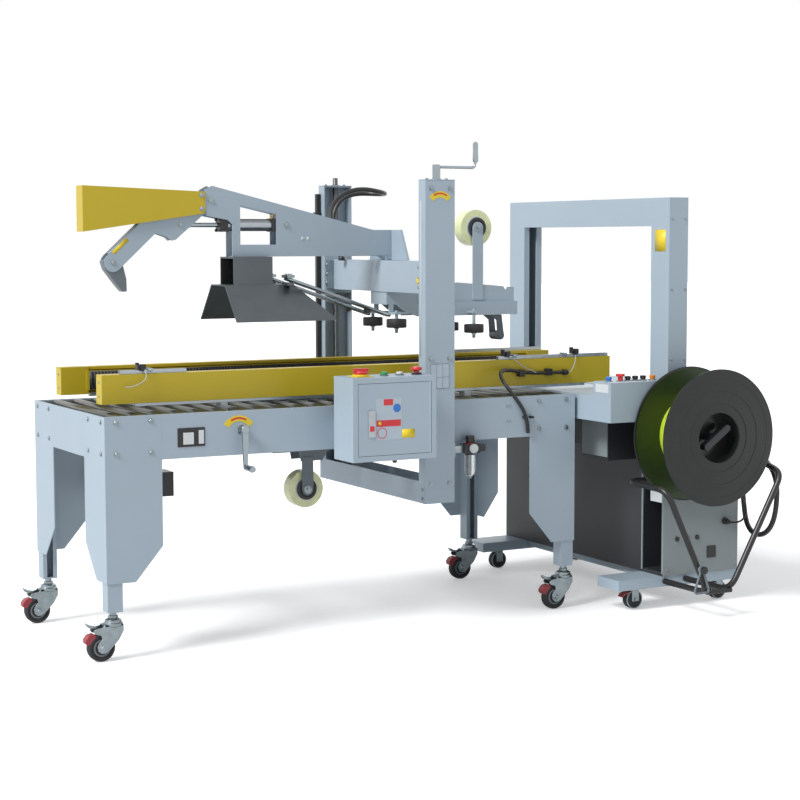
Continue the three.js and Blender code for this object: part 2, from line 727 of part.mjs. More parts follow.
// The upper head: a channel under the beam, the tape unit's two plates standing in it, and the roller brackets.
function topTapeHead() {
  const { left, right, half, bottom, top, plateTop, plateHalf } = head;
  const sheet = 3;
  const pieces = [
    block(left + 70, right, -half, half, top - 4, top),
    block(beam.left + 4, head.left + 90, -half, half, top - 4, beam.bottom - GAP),
  ];
  const sidePlate = [
    [left, top],
    [left + 34, bottom + 22],
    [left + 92, bottom],
    [right, bottom],
    [right, top],
  ];
  const unit = [
    [left + 60, top - 2],
    [right - 4, top - 2],
    [right - 4, plateTop - 20],
    [right - 32, plateTop - 18],
    [right - 40, plateTop - 30],
    [right - 50, plateTop - 16],
    [1460, plateTop],
    [left + 60, 1140],
  ];
  for (const side of Object.values(sides)) {
    pieces.push(slab("xz", sidePlate, side * (half - sheet), side * half));
    pieces.push(slab("xz", unit, side * (plateHalf - sheet), side * plateHalf));
    pieces.push(block(1230, right - 10, side * (plateHalf - sheet), side * plateHalf, bottom + 4, top));
  }
  pieces.push(rod("y", rollerArm.pin, -plateHalf + 1, plateHalf - 1, rollerArm.x, rollerArm.z, 16));
  pieces.push(rollArm(topRoll.x, topRoll.z, 1, 1110));
  for (const side of Object.values(sides)) {
    for (const [x, z] of [[press.entryX, press.entryZ], [press.exitX, press.exitZ]]) {
      const shelf = bottom + 10;
      pieces.push(block(x - 12, x + 12, side * (half - 8), side * (press.y + 14), shelf, shelf + 8));
      pieces.push(rod("z", press.pin, z - 14, shelf + 14, x, side * press.y, 12));
    }
    pieces.push(block(press.entryX - 12, left + 60, side * (half - 8), side * half, bottom + 10, bottom + 18));
    pieces.push(block(press.entryX - 12, press.entryX + 4, side * (half - 8), side * half, bottom + 10, top));
  }
  return join(pieces);
}

function pressRollerPiece(x, y, z) {
  const { radius, height, pin } = press;
  return cut(rod("z", radius, z, z + height, x, y, 24), rod("z", pin + RUN, z - 1, z + height + 1, x, y, 12));
}

function topRollerArm() {
  const { x, z, wheelX, wheelZ, radius, half, cheek, pin } = rollerArm;
  const outline = [
    [x - 15, z],
    [x - 7, z + 13],
    [x + 8, z + 13],
    [wheelX + 4, z - 30],
    [wheelX + 14, wheelZ],
    [wheelX, wheelZ - 14],
    [wheelX - 14, wheelZ],
    [wheelX - 18, z - 48],
    [x - 8, z - 13],
  ];
  const pieces = Object.values(sides).map((side) =>
    slab("xz", outline, side * half, side * (half + cheek), [circle(x, z, pin + RUN)]),
  );
  return join(pieces, rod("y", radius, -half - 1, half + 1, wheelX, wheelZ, 20));
}

function bottomTapeHead() {
  const { left, right, bottom, top, rollX, rollZ } = lowHead;
  const { plateHalf } = head;
  const outline = [
    [left, bottom + 30],
    [left + 60, bottom],
    [rollX - 30, bottom],
    [rollX - 24, bottom - 34],
    [rollX + 60, bottom - 34],
    [rollX + 80, bottom],
    [right - 60, bottom],
    [right, bottom + 30],
    [right, top],
    [left, top],
  ];
  const plateOn = (side) => slab("xz", outline, side * (plateHalf - 3), side * plateHalf);
  const pieces = Object.values(sides).map(plateOn);
  pieces.push(block(left, left + 4, -plateHalf, plateHalf, bottom + 30, top));
  pieces.push(block(right - 4, right, -plateHalf, plateHalf, bottom + 30, top));
  const shelf = bedBottom + 56 + GAP;
  pieces.push(block(crossMembers[1] - 14, left + 2, -plateHalf, plateHalf, shelf, shelf + 4));
  pieces.push(block(right - 2, crossMembers[2] + 14, -plateHalf, plateHalf, shelf, shelf + 4));
  for (const x of [left + 50, 780, 1010, right - 50]) {
    pieces.push(rod("y", 14, -plateHalf + 1, plateHalf - 1, x, top - 30, 12));
  }
  pieces.push(rollArm(rollX, rollZ, -1, bottom - 20));
  return join(pieces);
}

// ---------------------------------------------------------------- side drives and their crank

// A side drive: a sheet cover open on the carton's side, the belt in it, and its two feet on the cross slides.
function sideDrive(side) {
  const inner = side * (drive.opening / 2);
  const outer = inner + side * drive.thick;
  const { start, bottom, top } = drive;
  const { sheet, wrap, nut, guide } = driveShell;
  const end = bed.length + drive.past;
  const post = roller.pitch / 2 - roller.radius - driveShell.postClear;
  const nutHalf = widthCrank.shaft + driveShell.nutWall;
  const cover = join(
    block(start, end, outer - side * sheet, outer, bottom, top),
    block(start, end, inner + side * 12, outer, top - sheet, top),
    block(start, start + wrap, inner + side * 4, outer, bottom, top),
    block(end - wrap, end, inner + side * 4, outer, bottom, top),
  );
  const beltFace = inner;
  const beltBack = inner + side * 9;
  const belt = block(start + wrap - 8, end - wrap + 8, beltFace, beltBack, bottom + 14, top - 14);
  const ends = [start + wrap - 2, end - wrap + 2];
  const carrier = block(...ends, beltBack - side, outer - side, bottom + 36, bottom + 52);
  const pieces = [cover, belt, carrier];
  const middle = (inner + outer) / 2;
  for (const x of [widthCrank.x, guideX]) {
    pieces.push(block(x - post, x + post, middle - 18, middle + 18, widthCrank.z, bottom + 40));
    const { z } = widthCrank;
    pieces.push(block(x - nutHalf, x + nutHalf, middle - nut / 2, middle + nut / 2, z - 20, z + 20));
  }
  const bores = [
    rod("y", widthCrank.shaft + RUN, middle - 40, middle + 40, widthCrank.x, widthCrank.z, 20),
    rod("y", guide + RUN, middle - 40, middle + 40, guideX, widthCrank.z, 20),
  ];
  return cut(join(pieces), bores);
}

function widthCrankPiece() {
  const { x, z, shaft, hub, arm, reach, grip, gripLength } = widthCrank;
  const face = -halfBed - GAP;
  const armY = face - reach;
  const armOutline = [[x - 10, z + 12], [x + 10, z + 12], [x + 8, z - arm - 8], [x - 8, z - arm - 8]];
  return join(
    rod("y", shaft, armY, halfBed + 5, x, z, 16),
    rod("y", hub, armY, face, x, z, 16),
    slab("xz", armOutline, armY - 6, armY + 2),
    rod("y", grip, armY - gripLength, armY - 2, x, z - arm, 16),
  );
}

// ---------------------------------------------------------------- control box, motor and air unit

const boxRight = box.left + box.width;
const boxBack = halfBed + box.standOff;
const boxFront = -boxBack - box.depth;
const switchX = box.left + 62;
const startX = switchX + button.spacing + 12;
const stopX = startX + button.spacing - 16;
const emergencyX = stopX + button.spacing - 10;
const buttonY = boxFront + 66;

function controlBox() {
  const { left, bottom, top, sheet, frame } = box;
  const shell = cut(
    block(left, boxRight, boxFront, -boxBack, bottom, top),
    block(left + sheet, boxRight - sheet, boxFront + 12, -boxBack - sheet, bottom + sheet, top - sheet),
    block(left + frame, boxRight - frame, boxFront - 1, boxFront + 14, bottom + frame, top - frame),
  );
  const stands = [left + 40, boxRight - 70].map((x) =>
    block(x, x + 30, -boxBack - 1, -halfBed - GAP, bedBottom + 30, bedBottom + 100),
  );
  const holes = [
    rod("z", 9 + RUN, top - 12, top + 1, switchX, buttonY, 16),
    rod("z", button.stem + RUN, top - 12, top + 1, startX, buttonY, 16),
    rod("z", button.stem + RUN, top - 12, top + 1, stopX, buttonY, 16),
    rod("z", stopKnob.stem + RUN, top - 12, top + 1, emergencyX, buttonY, 16),
  ];
  return cut(join(shell, stands), holes);
}

const doorClear = 1.5;
const hingeRadius = 3;
const doorHingeX = boxRight - box.frame - doorClear - hingeRadius;

function controlDoor() {
  const { left, bottom, top, frame } = box;
  return join(
    block(left + frame + doorClear, boxRight - frame - doorClear, boxFront, boxFront + 3,
      bottom + frame + doorClear, top - frame - doorClear),
    rod("z", hingeRadius, bottom + frame + RUN, top - frame - RUN, doorHingeX, boxFront + 2, 10),
  );
}

function mainSwitch() {
  const z = box.top + GAP;
  return join(
    rod("z", 9, box.top - box.sheet - 6, z + 4, switchX, buttonY, 16),
    rod("z", 26, z, z + 8, switchX, buttonY, 24),
    rod("z", 21, z + 7, z + 18, switchX, buttonY, 20),
    block(switchX - 20, switchX + 20, buttonY - 6, buttonY + 6, z + 16, z + 27),
  );
}

function pushButton(x, radius, stem, rise, height) {
  const z = box.top + rise;
  const flange = block(x - stem - 4, x + stem + 4, buttonY - stem - 4, buttonY + stem + 4,
    box.top - box.sheet - GAP - 3, box.top - box.sheet - GAP);
  return join(
    rod("z", stem, box.top - box.sheet - GAP - 3, z + 1, x, buttonY, 14),
    rod("z", radius, z, z + height, x, buttonY, 20),
    flange,
  );
}

function driveMotor() {
  const { left, right, y, z, radius } = motor;
  const hang = bedBottom + 6 - GAP;
  const x = crossMembers[0];
  return join(
    rod("x", radius, left, right - 40, y, z, 20),
    block(right - 60, right, y - radius, y + radius, z - radius, z + radius),
    block(x - 16, x + 16, y - 30, y + 30, z + radius - 8, hang - 4),
    block(x - 26, x + 26, y - 34, y + 34, hang - 5, hang),
  );
}

function airRegulator() {
  const { fromMast, out, top, bottom } = regulator;
  const right = mast.left + mast.width;
  const x = right + fromMast;
  const y = -halfBed - out;
  return join(
    block(x - 32, x + 40, y - 22, y + 22, top - 62, top - 28),
    rod("z", 16, top - 30, top, x, y, 16),
    rod("z", 19, bottom + 8, top - 60, x, y, 16),
    rod("z", 6, bottom, bottom + 10, x, y, 10),
    rod("x", 14, x + 38, x + 56, y, top - 45, 12),
    block(right + GAP, x - 30, y - 14, y - 4, top - 58, top - 34),
    block(right + GAP, right + 6, y - 18, y + 18, top - 70, top - 22),
  );
}

// ---------------------------------------------------------------- strapping station

const tableUnder = bed.top - station.sheet;

function strapperBase() {
  const right = cabinet.right;
  const pieces = [];
  const { left, width, bottom, casterInset, wheel, wheelWidth } = foot;
  const top = cabinet.bottom - GAP;
  for (const side of Object.values(sides)) {
    const outer = side * cabinetHalf;
    const inner = outer - side * width;
    const rail = block(left, right, outer, inner, bottom, top);
    const under = block(left + 3, right - 3, outer - side * 3, inner + side * 3, bottom - 1, top - 3);
    pieces.push(cut(rail, under));
    for (const x of [left + casterInset, right - 40]) {
      const y = outer - side * (width / 2);
      pieces.push(
        block(x - 26, x + 26, y - 26, y + 26, bottom - 5, bottom + 1),
        block(x - 26, x + 26, y - 26, y + 26, bottom, top - 1),
        block(x - 12, x + 14, y - 17, y - 15, wheel - 6, bottom),
        block(x - 12, x + 14, y + 15, y + 17, wheel - 6, bottom),
        rod("y", wheel, y - wheelWidth / 2, y + wheelWidth / 2, x, wheel, 18),
        rod("y", 5, y - 18, y + 18, x, wheel, 10),
      );
    }
  }
  const railY = cabinetHalf - width + 2;
  for (const x of [cabinet.left + 20, right - 60]) {
    pieces.push(block(x, x + 40, -railY, railY, top - 26, top));
  }
  return join(pieces);
}

// The cabinet is a sheet body open below and above, with a service recess at the front of its infeed side,
// a grey terminal box hung on that side and the strap reel's axle on its front.
function strapperCabinet() {
  const { left, right, bottom, recess, recessDepth } = cabinet;
  const half = cabinetHalf;
  const sheet = 4;
  const top = tableUnder - GAP;
  const shell = cut(
    block(left, right, -half, half, bottom, top),
    block(left + sheet, right - sheet, sheet - half, half - sheet, bottom - 1, top + 1),
  );
  const floor = bottom + 14;
  const back = -half + recess;
  const pocket = (grow, out) =>
    block(left - out, left + recessDepth + grow, sheet - half - grow, back + grow, floor - grow, 660 + grow);
  const recessed = cut(join(shell, pocket(sheet, 0)), pocket(0, 20));
  const axle = [
    rod("y", 30, -half + 1, -reelBack + 6, reel.x, reel.z, 20),
    rod("y", reelAxle.radius, -half, -reelBack - reel.width + 34, reel.x, reel.z, 20),
  ];
  const terminal = block(left - 150, left + 1, -400, -230, 533, bed.top - station.apron - GAP);
  const terminalHollow = block(left - 147, left + sheet + 1, -397, -233, 536, 684);
  return join(cut(join(recessed, terminal), terminalHollow), axle, reelHandle());
}

// The clamp handle that holds the reel on its axle: a bar across the hub recess.
function reelHandle() {
  const { handle, handleWidth } = reelAxle;
  const tilt = 0.62;
  const out = [Math.cos(tilt), Math.sin(tilt)];
  const off = [-out[1], out[0]];
  const at = (t, s) => [reel.x + out[0] * t + off[0] * s, reel.z + out[1] * t + off[1] * s];
  const half = handle / 2;
  const wide = handleWidth / 2;
  const point = half + 8;
  const bar = [at(-half, -wide), at(half, -wide), at(point, 0), at(half, wide), at(-half, wide), at(-point, 0)];
  const front = -reelBack - reel.width;
  return slab("xz", bar, front + 8, front + 36);
}

function strapperTable() {
  const { length, apron, sheet } = station;
  const half = stationHalf;
  const bottom = bed.top - apron;
  const tray = cut(
    block(0, length, -half, half, bottom, bed.top),
    block(sheet, length - sheet, sheet - half, half - sheet, bottom - 1, tableUnder),
  );
  const slotMid = arch.left + arch.depth / 2;
  const slotHalf = arch.inner / 2 - 4;
  const slot = block(slotMid - 10, slotMid + 10, -slotHalf, slotHalf, tableUnder - 1, bed.top + 1);
  const desk = block(0, console_.length, -half, -half + console_.depth, bed.top - 2, bed.top + console_.height);
  const deskHollow = block(3, console_.length - 3, 3 - half, console_.depth - 3 - half,
    tableUnder - 5, bed.top + console_.height - 3);
  return cut(join(tray, desk), slot, deskHollow);
}

function strapperArch() {
  const { left, inner, rise, post, head: crown, slot, lip } = arch;
  const base = bed.top + GAP;
  const wide = inner / 2;
  const frame = (grow) => [
    [-wide - grow, base - 1],
    [-wide - grow, bed.top + rise + grow],
    [wide + grow, bed.top + rise + grow],
    [wide + grow, base - 1],
  ];
  const outer = [
    [-wide - post, base],
    [-wide - post, bed.top + rise + crown],
    [wide + post, bed.top + rise + crown],
    [wide + post, base],
  ];
  const middle = left + arch.depth / 2;
  const body = slab("yz", outer, left, archRight);
  const opening = slab("yz", frame(0), left - 1, archRight + 1);
  const throat = slab("yz", frame(lip + 1), middle - slot / 2, middle + slot / 2);
  const wall = 4;
  const cavity = slab("yz", frame(crown - wall), left + wall, archRight - wall);
  const lips = slab("yz", frame(lip), left - 1, archRight + 1);
  const baseRing = block(left, archRight, -wide - post, wide + post, base, base + 5);
  const keep = cut(join(cut(cavity, lips), throat), baseRing);
  return cut(body, opening, keep);
}

function strapReel() {
  const { radius, width, flange, coil, recess } = reel;
  const y0 = -reelBack;
  const y1 = -reelBack - width;
  const bore = reelAxle.radius + RUN;
  const profile = [
    [bore, y0 - 1],
    [46, y0],
    [radius, y0],
    [radius, y0 - flange],
    [coil, y0 - flange],
    [coil, y1 + flange],
    [radius, y1 + flange],
    [radius, y1],
    [recess, y1],
    [recess, y1 + 70],
    [bore, y1 + 70],
    [bore, y0 - 1],
  ];
  return turned(profile, reel.x, reel.z, 48);
}

// Two bent tubes keep the reel from being bumped; a link joins them near the floor.
function reelGuardPiece() {
  const { radius, bend } = reelGuard;
  const front = guardFront;
  const start = -cabinetHalf - GAP - 0.6;
  const behind = -(cabinetHalf + reelBack) / 2;
  const { x } = reel;
  const infeed = x - reel.radius;
  const outfeed = x + reel.radius + 22;
  const yoke = 50;
  const leftTube = [
    [x - 68, start, 100],
    [x - 60, -front, 96],
    [infeed, -front, 468],
    [infeed - 9, behind, 477],
    [cabinet.left + yoke, behind, 477],
  ];
  const rightTube = [
    [x + 24, start, 102],
    [x + 38, -front, 98],
    [outfeed, -front, 500],
    [outfeed + 11, behind, 552],
    [cabinet.right - yoke, behind, 552],
  ];
  const stubs = [
    block(cabinet.left + yoke - 22, cabinet.left + yoke + 2, behind, -cabinetHalf - GAP, 466, 488),
    block(cabinet.right - yoke - 2, cabinet.right - yoke + 22, behind, -cabinetHalf - GAP, 541, 563),
  ];
  const boss = rod("y", dancer.pin, -front, -front - dancer.stand, dancer.x, dancer.z, 14);
  const link = rod("x", 8, x - 66, x + 44, -front + 2, 98, 10);
  return join(bentTube(leftTube, radius, bend), bentTube(rightTube, radius, bend), link, stubs, boss);
}

// The strap runs under this hanging loop, which swings and takes up slack.
function dancerArm() {
  const { x, z, pin, stand, wire, eye, drop, spread } = dancer;
  const front = guardFront;
  const y = -front - reelGuard.radius - 2 - eye / 2;
  const loop = [
    [x - 6, y, z - 6],
    [x - spread, y, z - drop],
    [x + spread, y, z - drop],
    [x + 6, y, z - 6],
  ];
  const hub = rod("y", pin + 5, y - eye / 2, y + eye / 2, x, z, 18);
  const bore = rod("y", pin + RUN, -front - stand, -front, x, z, 18);
  return cut(join(bentTube(loop, wire, 12, 8), hub), bore);
}

// ---------------------------------------------------------------- assembly

add("bed_frame", bedFrame(), finish.paint);
add("roller_bed", rollerBed(), finish.steel);
corners();
for (const [name, side] of Object.entries(sides)) {
  add(`mast_${name}`, mastChannel(side), finish.paint);
}
add("lead_screw_back", leadScrew(sides.back), finish.black);
add("tie_channel", tieChannel(), finish.paint);
add("height_crank", heightCrankPiece(), finish.chrome);
add("cross_beam", crossBeam(), finish.paint);
add("boom", boomPiece(), finish.paint);
add("kicker_guard", kickerGuard(), finish.yellow);
add("kicker_arm", kickerArm(), finish.paint);
add("kicker_finger", kickerFinger(), finish.darkPaint);
add("kicker_cylinder", kickerCylinder(), finish.aluminium);
add("kicker_rod", kickerRod(), finish.chrome);
add("flap_plough", ploughPiece(), finish.darkPaint);
add("flap_rod_near", flapRodPiece(sides.front), finish.chrome);
add("flap_rod_far", flapRodPiece(sides.back), finish.chrome);
add("top_tape_head", topTapeHead(), finish.paint);
add("top_tape_roll", tapeRing(topRoll.x, topRoll.z), finish.tape);
add("top_roller_arm", topRollerArm(), finish.darkPaint);
for (const [name, side] of [["near", sides.front], ["far", sides.back]]) {
  const y = side * press.y;
  add(`press_roller_entry_${name}`, pressRollerPiece(press.entryX, y, press.entryZ), finish.rubber);
  add(`press_roller_exit_${name}`, pressRollerPiece(press.exitX, y, press.exitZ), finish.rubber);
  add(`side_drive_${name}`, sideDrive(side), finish.yellow);
}
add("bottom_tape_head", bottomTapeHead(), finish.darkPaint);
add("bottom_tape_roll", tapeRing(lowHead.rollX, lowHead.rollZ), finish.tape);
add("width_crank", widthCrankPiece(), finish.steel);
add("control_box", controlBox(), finish.paint);
add("control_door", controlDoor(), finish.paint);
add("main_switch", mainSwitch(), finish.red);
add("start_button", pushButton(startX, button.radius, button.stem, 4.5, 9), finish.green);
add("stop_button", pushButton(stopX, button.radius, button.stem, 4.5, 7), finish.white);
add("emergency_stop", pushButton(emergencyX, stopKnob.radius, stopKnob.stem, 14, 12), finish.red);
add("drive_motor", driveMotor(), finish.black);
add("air_regulator", airRegulator(), finish.black);
const strapping = new THREE.Group();
strapping.position.x = bed.length + station.fromBed;
part.add(strapping);
add("strapper_base", strapperBase(), finish.paint, strapping);
add("strapper_cabinet", strapperCabinet(), finish.black, strapping);
add("strapper_table", strapperTable(), finish.paint, strapping);
add("strapper_arch", strapperArch(), finish.paint, strapping);
add("strap_reel", strapReel(), finish.black, strapping);
add("reel_guard", reelGuardPiece(), finish.black, strapping);
add("dancer_arm", dancerArm(), finish.black, strapping);

// The origin is the bottom centre of the whole line's box.
part.updateMatrixWorld(true);
const extent = new THREE.Box3().setFromObject(part, true);
const centre = extent.getCenter(new THREE.Vector3());
part.position.set(-centre.x, -centre.y, -extent.min.z);

export default part;
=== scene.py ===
"""Carton sealing and strapping line: looks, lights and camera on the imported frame."""
import math

import bmesh
import bpy
from mathutils import Matrix, Vector


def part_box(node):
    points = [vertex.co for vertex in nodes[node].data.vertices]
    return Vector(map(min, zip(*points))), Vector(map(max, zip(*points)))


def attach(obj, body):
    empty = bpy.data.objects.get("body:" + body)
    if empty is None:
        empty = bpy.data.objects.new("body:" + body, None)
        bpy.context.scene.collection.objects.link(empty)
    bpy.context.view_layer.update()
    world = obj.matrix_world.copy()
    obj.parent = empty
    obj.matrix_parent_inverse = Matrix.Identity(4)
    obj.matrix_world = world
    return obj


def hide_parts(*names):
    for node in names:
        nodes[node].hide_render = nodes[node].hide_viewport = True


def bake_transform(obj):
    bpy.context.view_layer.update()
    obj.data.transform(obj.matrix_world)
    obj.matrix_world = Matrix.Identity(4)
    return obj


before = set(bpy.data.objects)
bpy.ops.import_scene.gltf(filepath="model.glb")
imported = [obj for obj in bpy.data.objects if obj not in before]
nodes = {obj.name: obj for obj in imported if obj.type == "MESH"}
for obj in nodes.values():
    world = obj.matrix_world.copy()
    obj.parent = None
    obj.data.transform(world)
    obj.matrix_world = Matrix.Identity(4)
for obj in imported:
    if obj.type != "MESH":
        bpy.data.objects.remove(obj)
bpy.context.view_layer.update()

bed_low, bed_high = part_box("bed_frame")
ORIGIN = Vector((bed_low.x, (bed_low.y + bed_high.y) / 2, 0))


def at(x, y, z):
    """A point of the line in metres: mm from the bed's infeed end, centre plane and the floor."""
    return Vector((x, y, z)) / 1000 + ORIGIN


# ---------------------------------------------------------------- camera

YAW, PITCH, ROLL = math.radians(28.54), math.radians(5.04), math.radians(0.107)
EYE = at(-1879.4, -5749.6, 1327.5)


def make_camera():
    data = bpy.data.cameras.new("camera")
    data.sensor_width = 36
    data.lens = 81.57
    data.clip_end = 60
    camera = bpy.data.objects.new("camera", data)
    bpy.context.scene.collection.objects.link(camera)
    ahead = Vector((math.sin(YAW) * math.cos(PITCH), math.cos(YAW) * math.cos(PITCH), -math.sin(PITCH)))
    turn = ahead.to_track_quat("-Z", "Y").to_matrix().to_4x4()
    camera.matrix_world = Matrix.Translation(EYE) @ turn @ Matrix.Rotation(-ROLL, 4, "Z")
    bpy.context.scene.camera = camera


make_camera()

# ---------------------------------------------------------------- materials


def new_material(name, color, roughness, metallic=0.0, **more):
    made = bpy.data.materials.new(name)
    made.use_nodes = True
    shader = made.node_tree.nodes["Principled BSDF"]
    shader.inputs["Base Color"].default_value = (*color, 1)
    shader.inputs["Roughness"].default_value = roughness
    shader.inputs["Metallic"].default_value = metallic
    for socket, value in more.items():
        shader.inputs[socket.replace("_", " ")].default_value = value
    return made


def add_node(material, kind, **values):
    node = material.node_tree.nodes.new(kind)
    for key, value in values.items():
        if key in node.inputs:
            node.inputs[key].default_value = value
        else:
            setattr(node, key, value)
    return node


def link(material, out, into):
    material.node_tree.links.new(out, into)


def noise(material, scale, detail=3.0, stretch=(1, 1, 1)):
    mapping = add_node(material, "ShaderNodeMapping")
    mapping.inputs["Scale"].default_value = stretch
    coordinates = add_node(material, "ShaderNodeTexCoord")
    link(material, coordinates.outputs["Object"], mapping.inputs["Vector"])
    made = add_node(material, "ShaderNodeTexNoise", Scale=scale, Detail=detail)
    link(material, mapping.outputs["Vector"], made.inputs["Vector"])
    return made.outputs["Fac"]


def tone(material, base, spread, scale, stretch=(1, 1, 1), detail=4.0):
    """Slow changes of colour over the surface, from a darker to a lighter tone of the base."""
    shader = material.node_tree.nodes["Principled BSDF"]
    ramp = add_node(material, "ShaderNodeValToRGB")
    dark = tuple(max(0, c * (1 - spread)) for c in base)
    light = tuple(min(1, c * (1 + spread)) for c in base)
    ramp.color_ramp.elements[0].position = 0.3
    ramp.color_ramp.elements[0].color = (*dark, 1)
    ramp.color_ramp.elements[1].position = 0.7
    ramp.color_ramp.elements[1].color = (*light, 1)
    link(material, noise(material, scale, detail, stretch), ramp.inputs["Fac"])
    link(material, ramp.outputs["Color"], shader.inputs["Base Color"])


def relief(material, scale, strength, distance, stretch=(1, 1, 1), detail=2.0):
    shader = material.node_tree.nodes["Principled BSDF"]
    bump = add_node(material, "ShaderNodeBump", Strength=strength, Distance=distance)
    link(material, noise(material, scale, detail, stretch), bump.inputs["Height"])
    link(material, bump.outputs["Normal"], shader.inputs["Normal"])


def gloss_range(material, scale, low, high, stretch=(1, 1, 1)):
    shader = material.node_tree.nodes["Principled BSDF"]
    spread = add_node(material, "ShaderNodeMapRange")
    spread.inputs["To Min"].default_value = low
    spread.inputs["To Max"].default_value = high
    link(material, noise(material, scale, 4.0, stretch), spread.inputs["Value"])
    link(material, spread.outputs["Result"], shader.inputs["Roughness"])


def powder_coat(name, color, roughness=0.42, spread=0.035, grain=0.25):
    made = new_material(name, color, roughness)
    tone(made, color, spread, 2.5)
    relief(made, 900, grain, 0.0002)
    gloss_range(made, 6, roughness - 0.07, roughness + 0.08)
    return made


def bare_metal(name, color, roughness, stretch=(1, 1, 1), spread=0.06, scale=60):
    made = new_material(name, color, roughness, 1.0)
    tone(made, color, spread, scale, stretch)
    relief(made, scale * 6, 0.12, 0.0002, stretch)
    gloss_range(made, scale, roughness - 0.08, roughness + 0.1, stretch)
    return made


def plastic(name, color, roughness=0.35, grain=0.1, spread=0.04):
    made = new_material(name, color, roughness)
    tone(made, color, spread, 14)
    relief(made, 1400, grain, 0.0001)
    gloss_range(made, 20, roughness - 0.06, roughness + 0.06)
    return made


def wound_tape():
    base = (0.72, 0.76, 0.44)
    made = new_material("wound_tape", base, 0.2, Coat_Weight=0.3, IOR=1.45)
    tone(made, base, 0.12, 40, (1, 0.05, 1))
    relief(made, 500, 0.15, 0.0002, (1, 0.02, 1))
    return made


def wound_strap():
    base = (0.05, 0.055, 0.03)
    made = new_material("wound_strap", base, 0.3)
    shader = made.node_tree.nodes["Principled BSDF"]
    wave = add_node(made, "ShaderNodeTexWave", Scale=34.0, Distortion=1.2)
    wave.bands_direction = "Y"
    coordinates = add_node(made, "ShaderNodeTexCoord")
    link(made, coordinates.outputs["Object"], wave.inputs["Vector"])
    bump = add_node(made, "ShaderNodeBump", Strength=0.5, Distance=0.002)
    link(made, wave.outputs["Fac"], bump.inputs["Height"])
    link(made, bump.outputs["Normal"], shader.inputs["Normal"])
    ramp = add_node(made, "ShaderNodeValToRGB")
    ramp.color_ramp.elements[0].color = (0.35, 0.50, 0.02, 1)
    ramp.color_ramp.elements[1].color = (0.62, 0.78, 0.05, 1)
    link(made, wave.outputs["Fac"], ramp.inputs["Fac"])
    link(made, ramp.outputs["Color"], shader.inputs["Base Color"])
    return made


BLUE_GREY = (0.355, 0.435, 0.505)
MAT = {
    "paint": powder_coat("machine_paint", BLUE_GREY),
    "yellow": powder_coat("yellow_paint", (0.53, 0.40, 0.014), 0.38, 0.03, 0.18),
    "dark": powder_coat("dark_paint", (0.13, 0.16, 0.18), 0.4, 0.06),
    "plough": bare_metal("scuffed_steel", (0.12, 0.135, 0.145), 0.42, (1, 2, 1), 0.1, 7),
    "black": powder_coat("black_powder", (0.022, 0.025, 0.029), 0.42, 0.1, 0.4),
    "grey_panel": powder_coat("grey_panel", (0.23, 0.27, 0.28)),
    "zinc": bare_metal("zinc_plate", (0.31, 0.36, 0.38), 0.3, (1, 1, 1), 0.16, 30),
    "roller": bare_metal("roller_steel", (0.16, 0.165, 0.15), 0.3, (3, 0.3, 3), 0.12, 50),
    "chrome": bare_metal("chrome", (0.36, 0.41, 0.44), 0.16, (1, 1, 1), 0.05, 20),
    "screw_steel": bare_metal("screw_steel", (0.17, 0.17, 0.18), 0.34, (1, 1, 1), 0.15, 80),
    "aluminium": bare_metal("aluminium", (0.42, 0.46, 0.49), 0.3, (1, 12, 1), 0.06, 60),
    "rubber": plastic("black_rubber", (0.018, 0.018, 0.019), 0.62, 0.5, 0.2),
    "belt": plastic("belt_rubber", (0.012, 0.013, 0.014), 0.55, 0.6, 0.2),
    "hose": plastic("hose_black", (0.014, 0.014, 0.015), 0.35, 0.2, 0.1),
    "black_plastic": plastic("black_plastic", (0.016, 0.016, 0.018), 0.3, 0.2, 0.1),
    # painted sheen: a dark green colour that stands in for the strap's sheen on the reel's back flange
    "reel_painted_sheen": plastic("reel_painted_sheen", (0.022, 0.042, 0.012), 0.3, 0.1, 0.1),
    "reel_plastic": plastic("reel_plastic", (0.009, 0.012, 0.010), 0.24, 0.12, 0.2),
    "red": plastic("red_plastic", (0.62, 0.03, 0.035), 0.28),
    "pedal": plastic("pedal_red", (0.30, 0.03, 0.04), 0.34),
    "green": plastic("green_plastic", (0.02, 0.36, 0.11), 0.28),
    "white": plastic("white_plastic", (0.66, 0.68, 0.68), 0.32, 0.05, 0.02),
    "blue": plastic("blue_plastic", (0.03, 0.17, 0.55), 0.28),
    "orange": plastic("orange_plastic", (0.75, 0.22, 0.02), 0.28),
    "label": plastic("blank_label", (0.62, 0.66, 0.68), 0.4, 0.05, 0.02),
    "label_pale": plastic("pale_label", (0.42, 0.50, 0.57), 0.35, 0.05, 0.02),
    "cable_grey": plastic("cable_grey", (0.45, 0.46, 0.44), 0.45, 0.1),
    "boom_seam": powder_coat("boom_seam", (0.36, 0.44, 0.51)),
    "label_yellow": plastic("blank_label_yellow", (0.75, 0.57, 0.02), 0.4, 0.05, 0.03),
    "brass": bare_metal("brass", (0.66, 0.46, 0.18), 0.3, (1, 1, 1), 0.08, 30),
    "wound_tape": wound_tape(),
    "wound_strap": wound_strap(),
    "bowl": new_material("clear_bowl", (0.75, 0.80, 0.82), 0.08, 0.0, Transmission_Weight=0.85, IOR=1.5),
}

# ---------------------------------------------------------------- shapes

AXES = {"x": Vector((1, 0, 0)), "y": Vector((0, 1, 0)), "z": Vector((0, 0, 1))}
LIFT = {
    "xy": lambda u, v, w: (u, v, w),
    "xz": lambda u, v, w: (u, w, v),
    "yz": lambda u, v, w: (w, u, v),
}


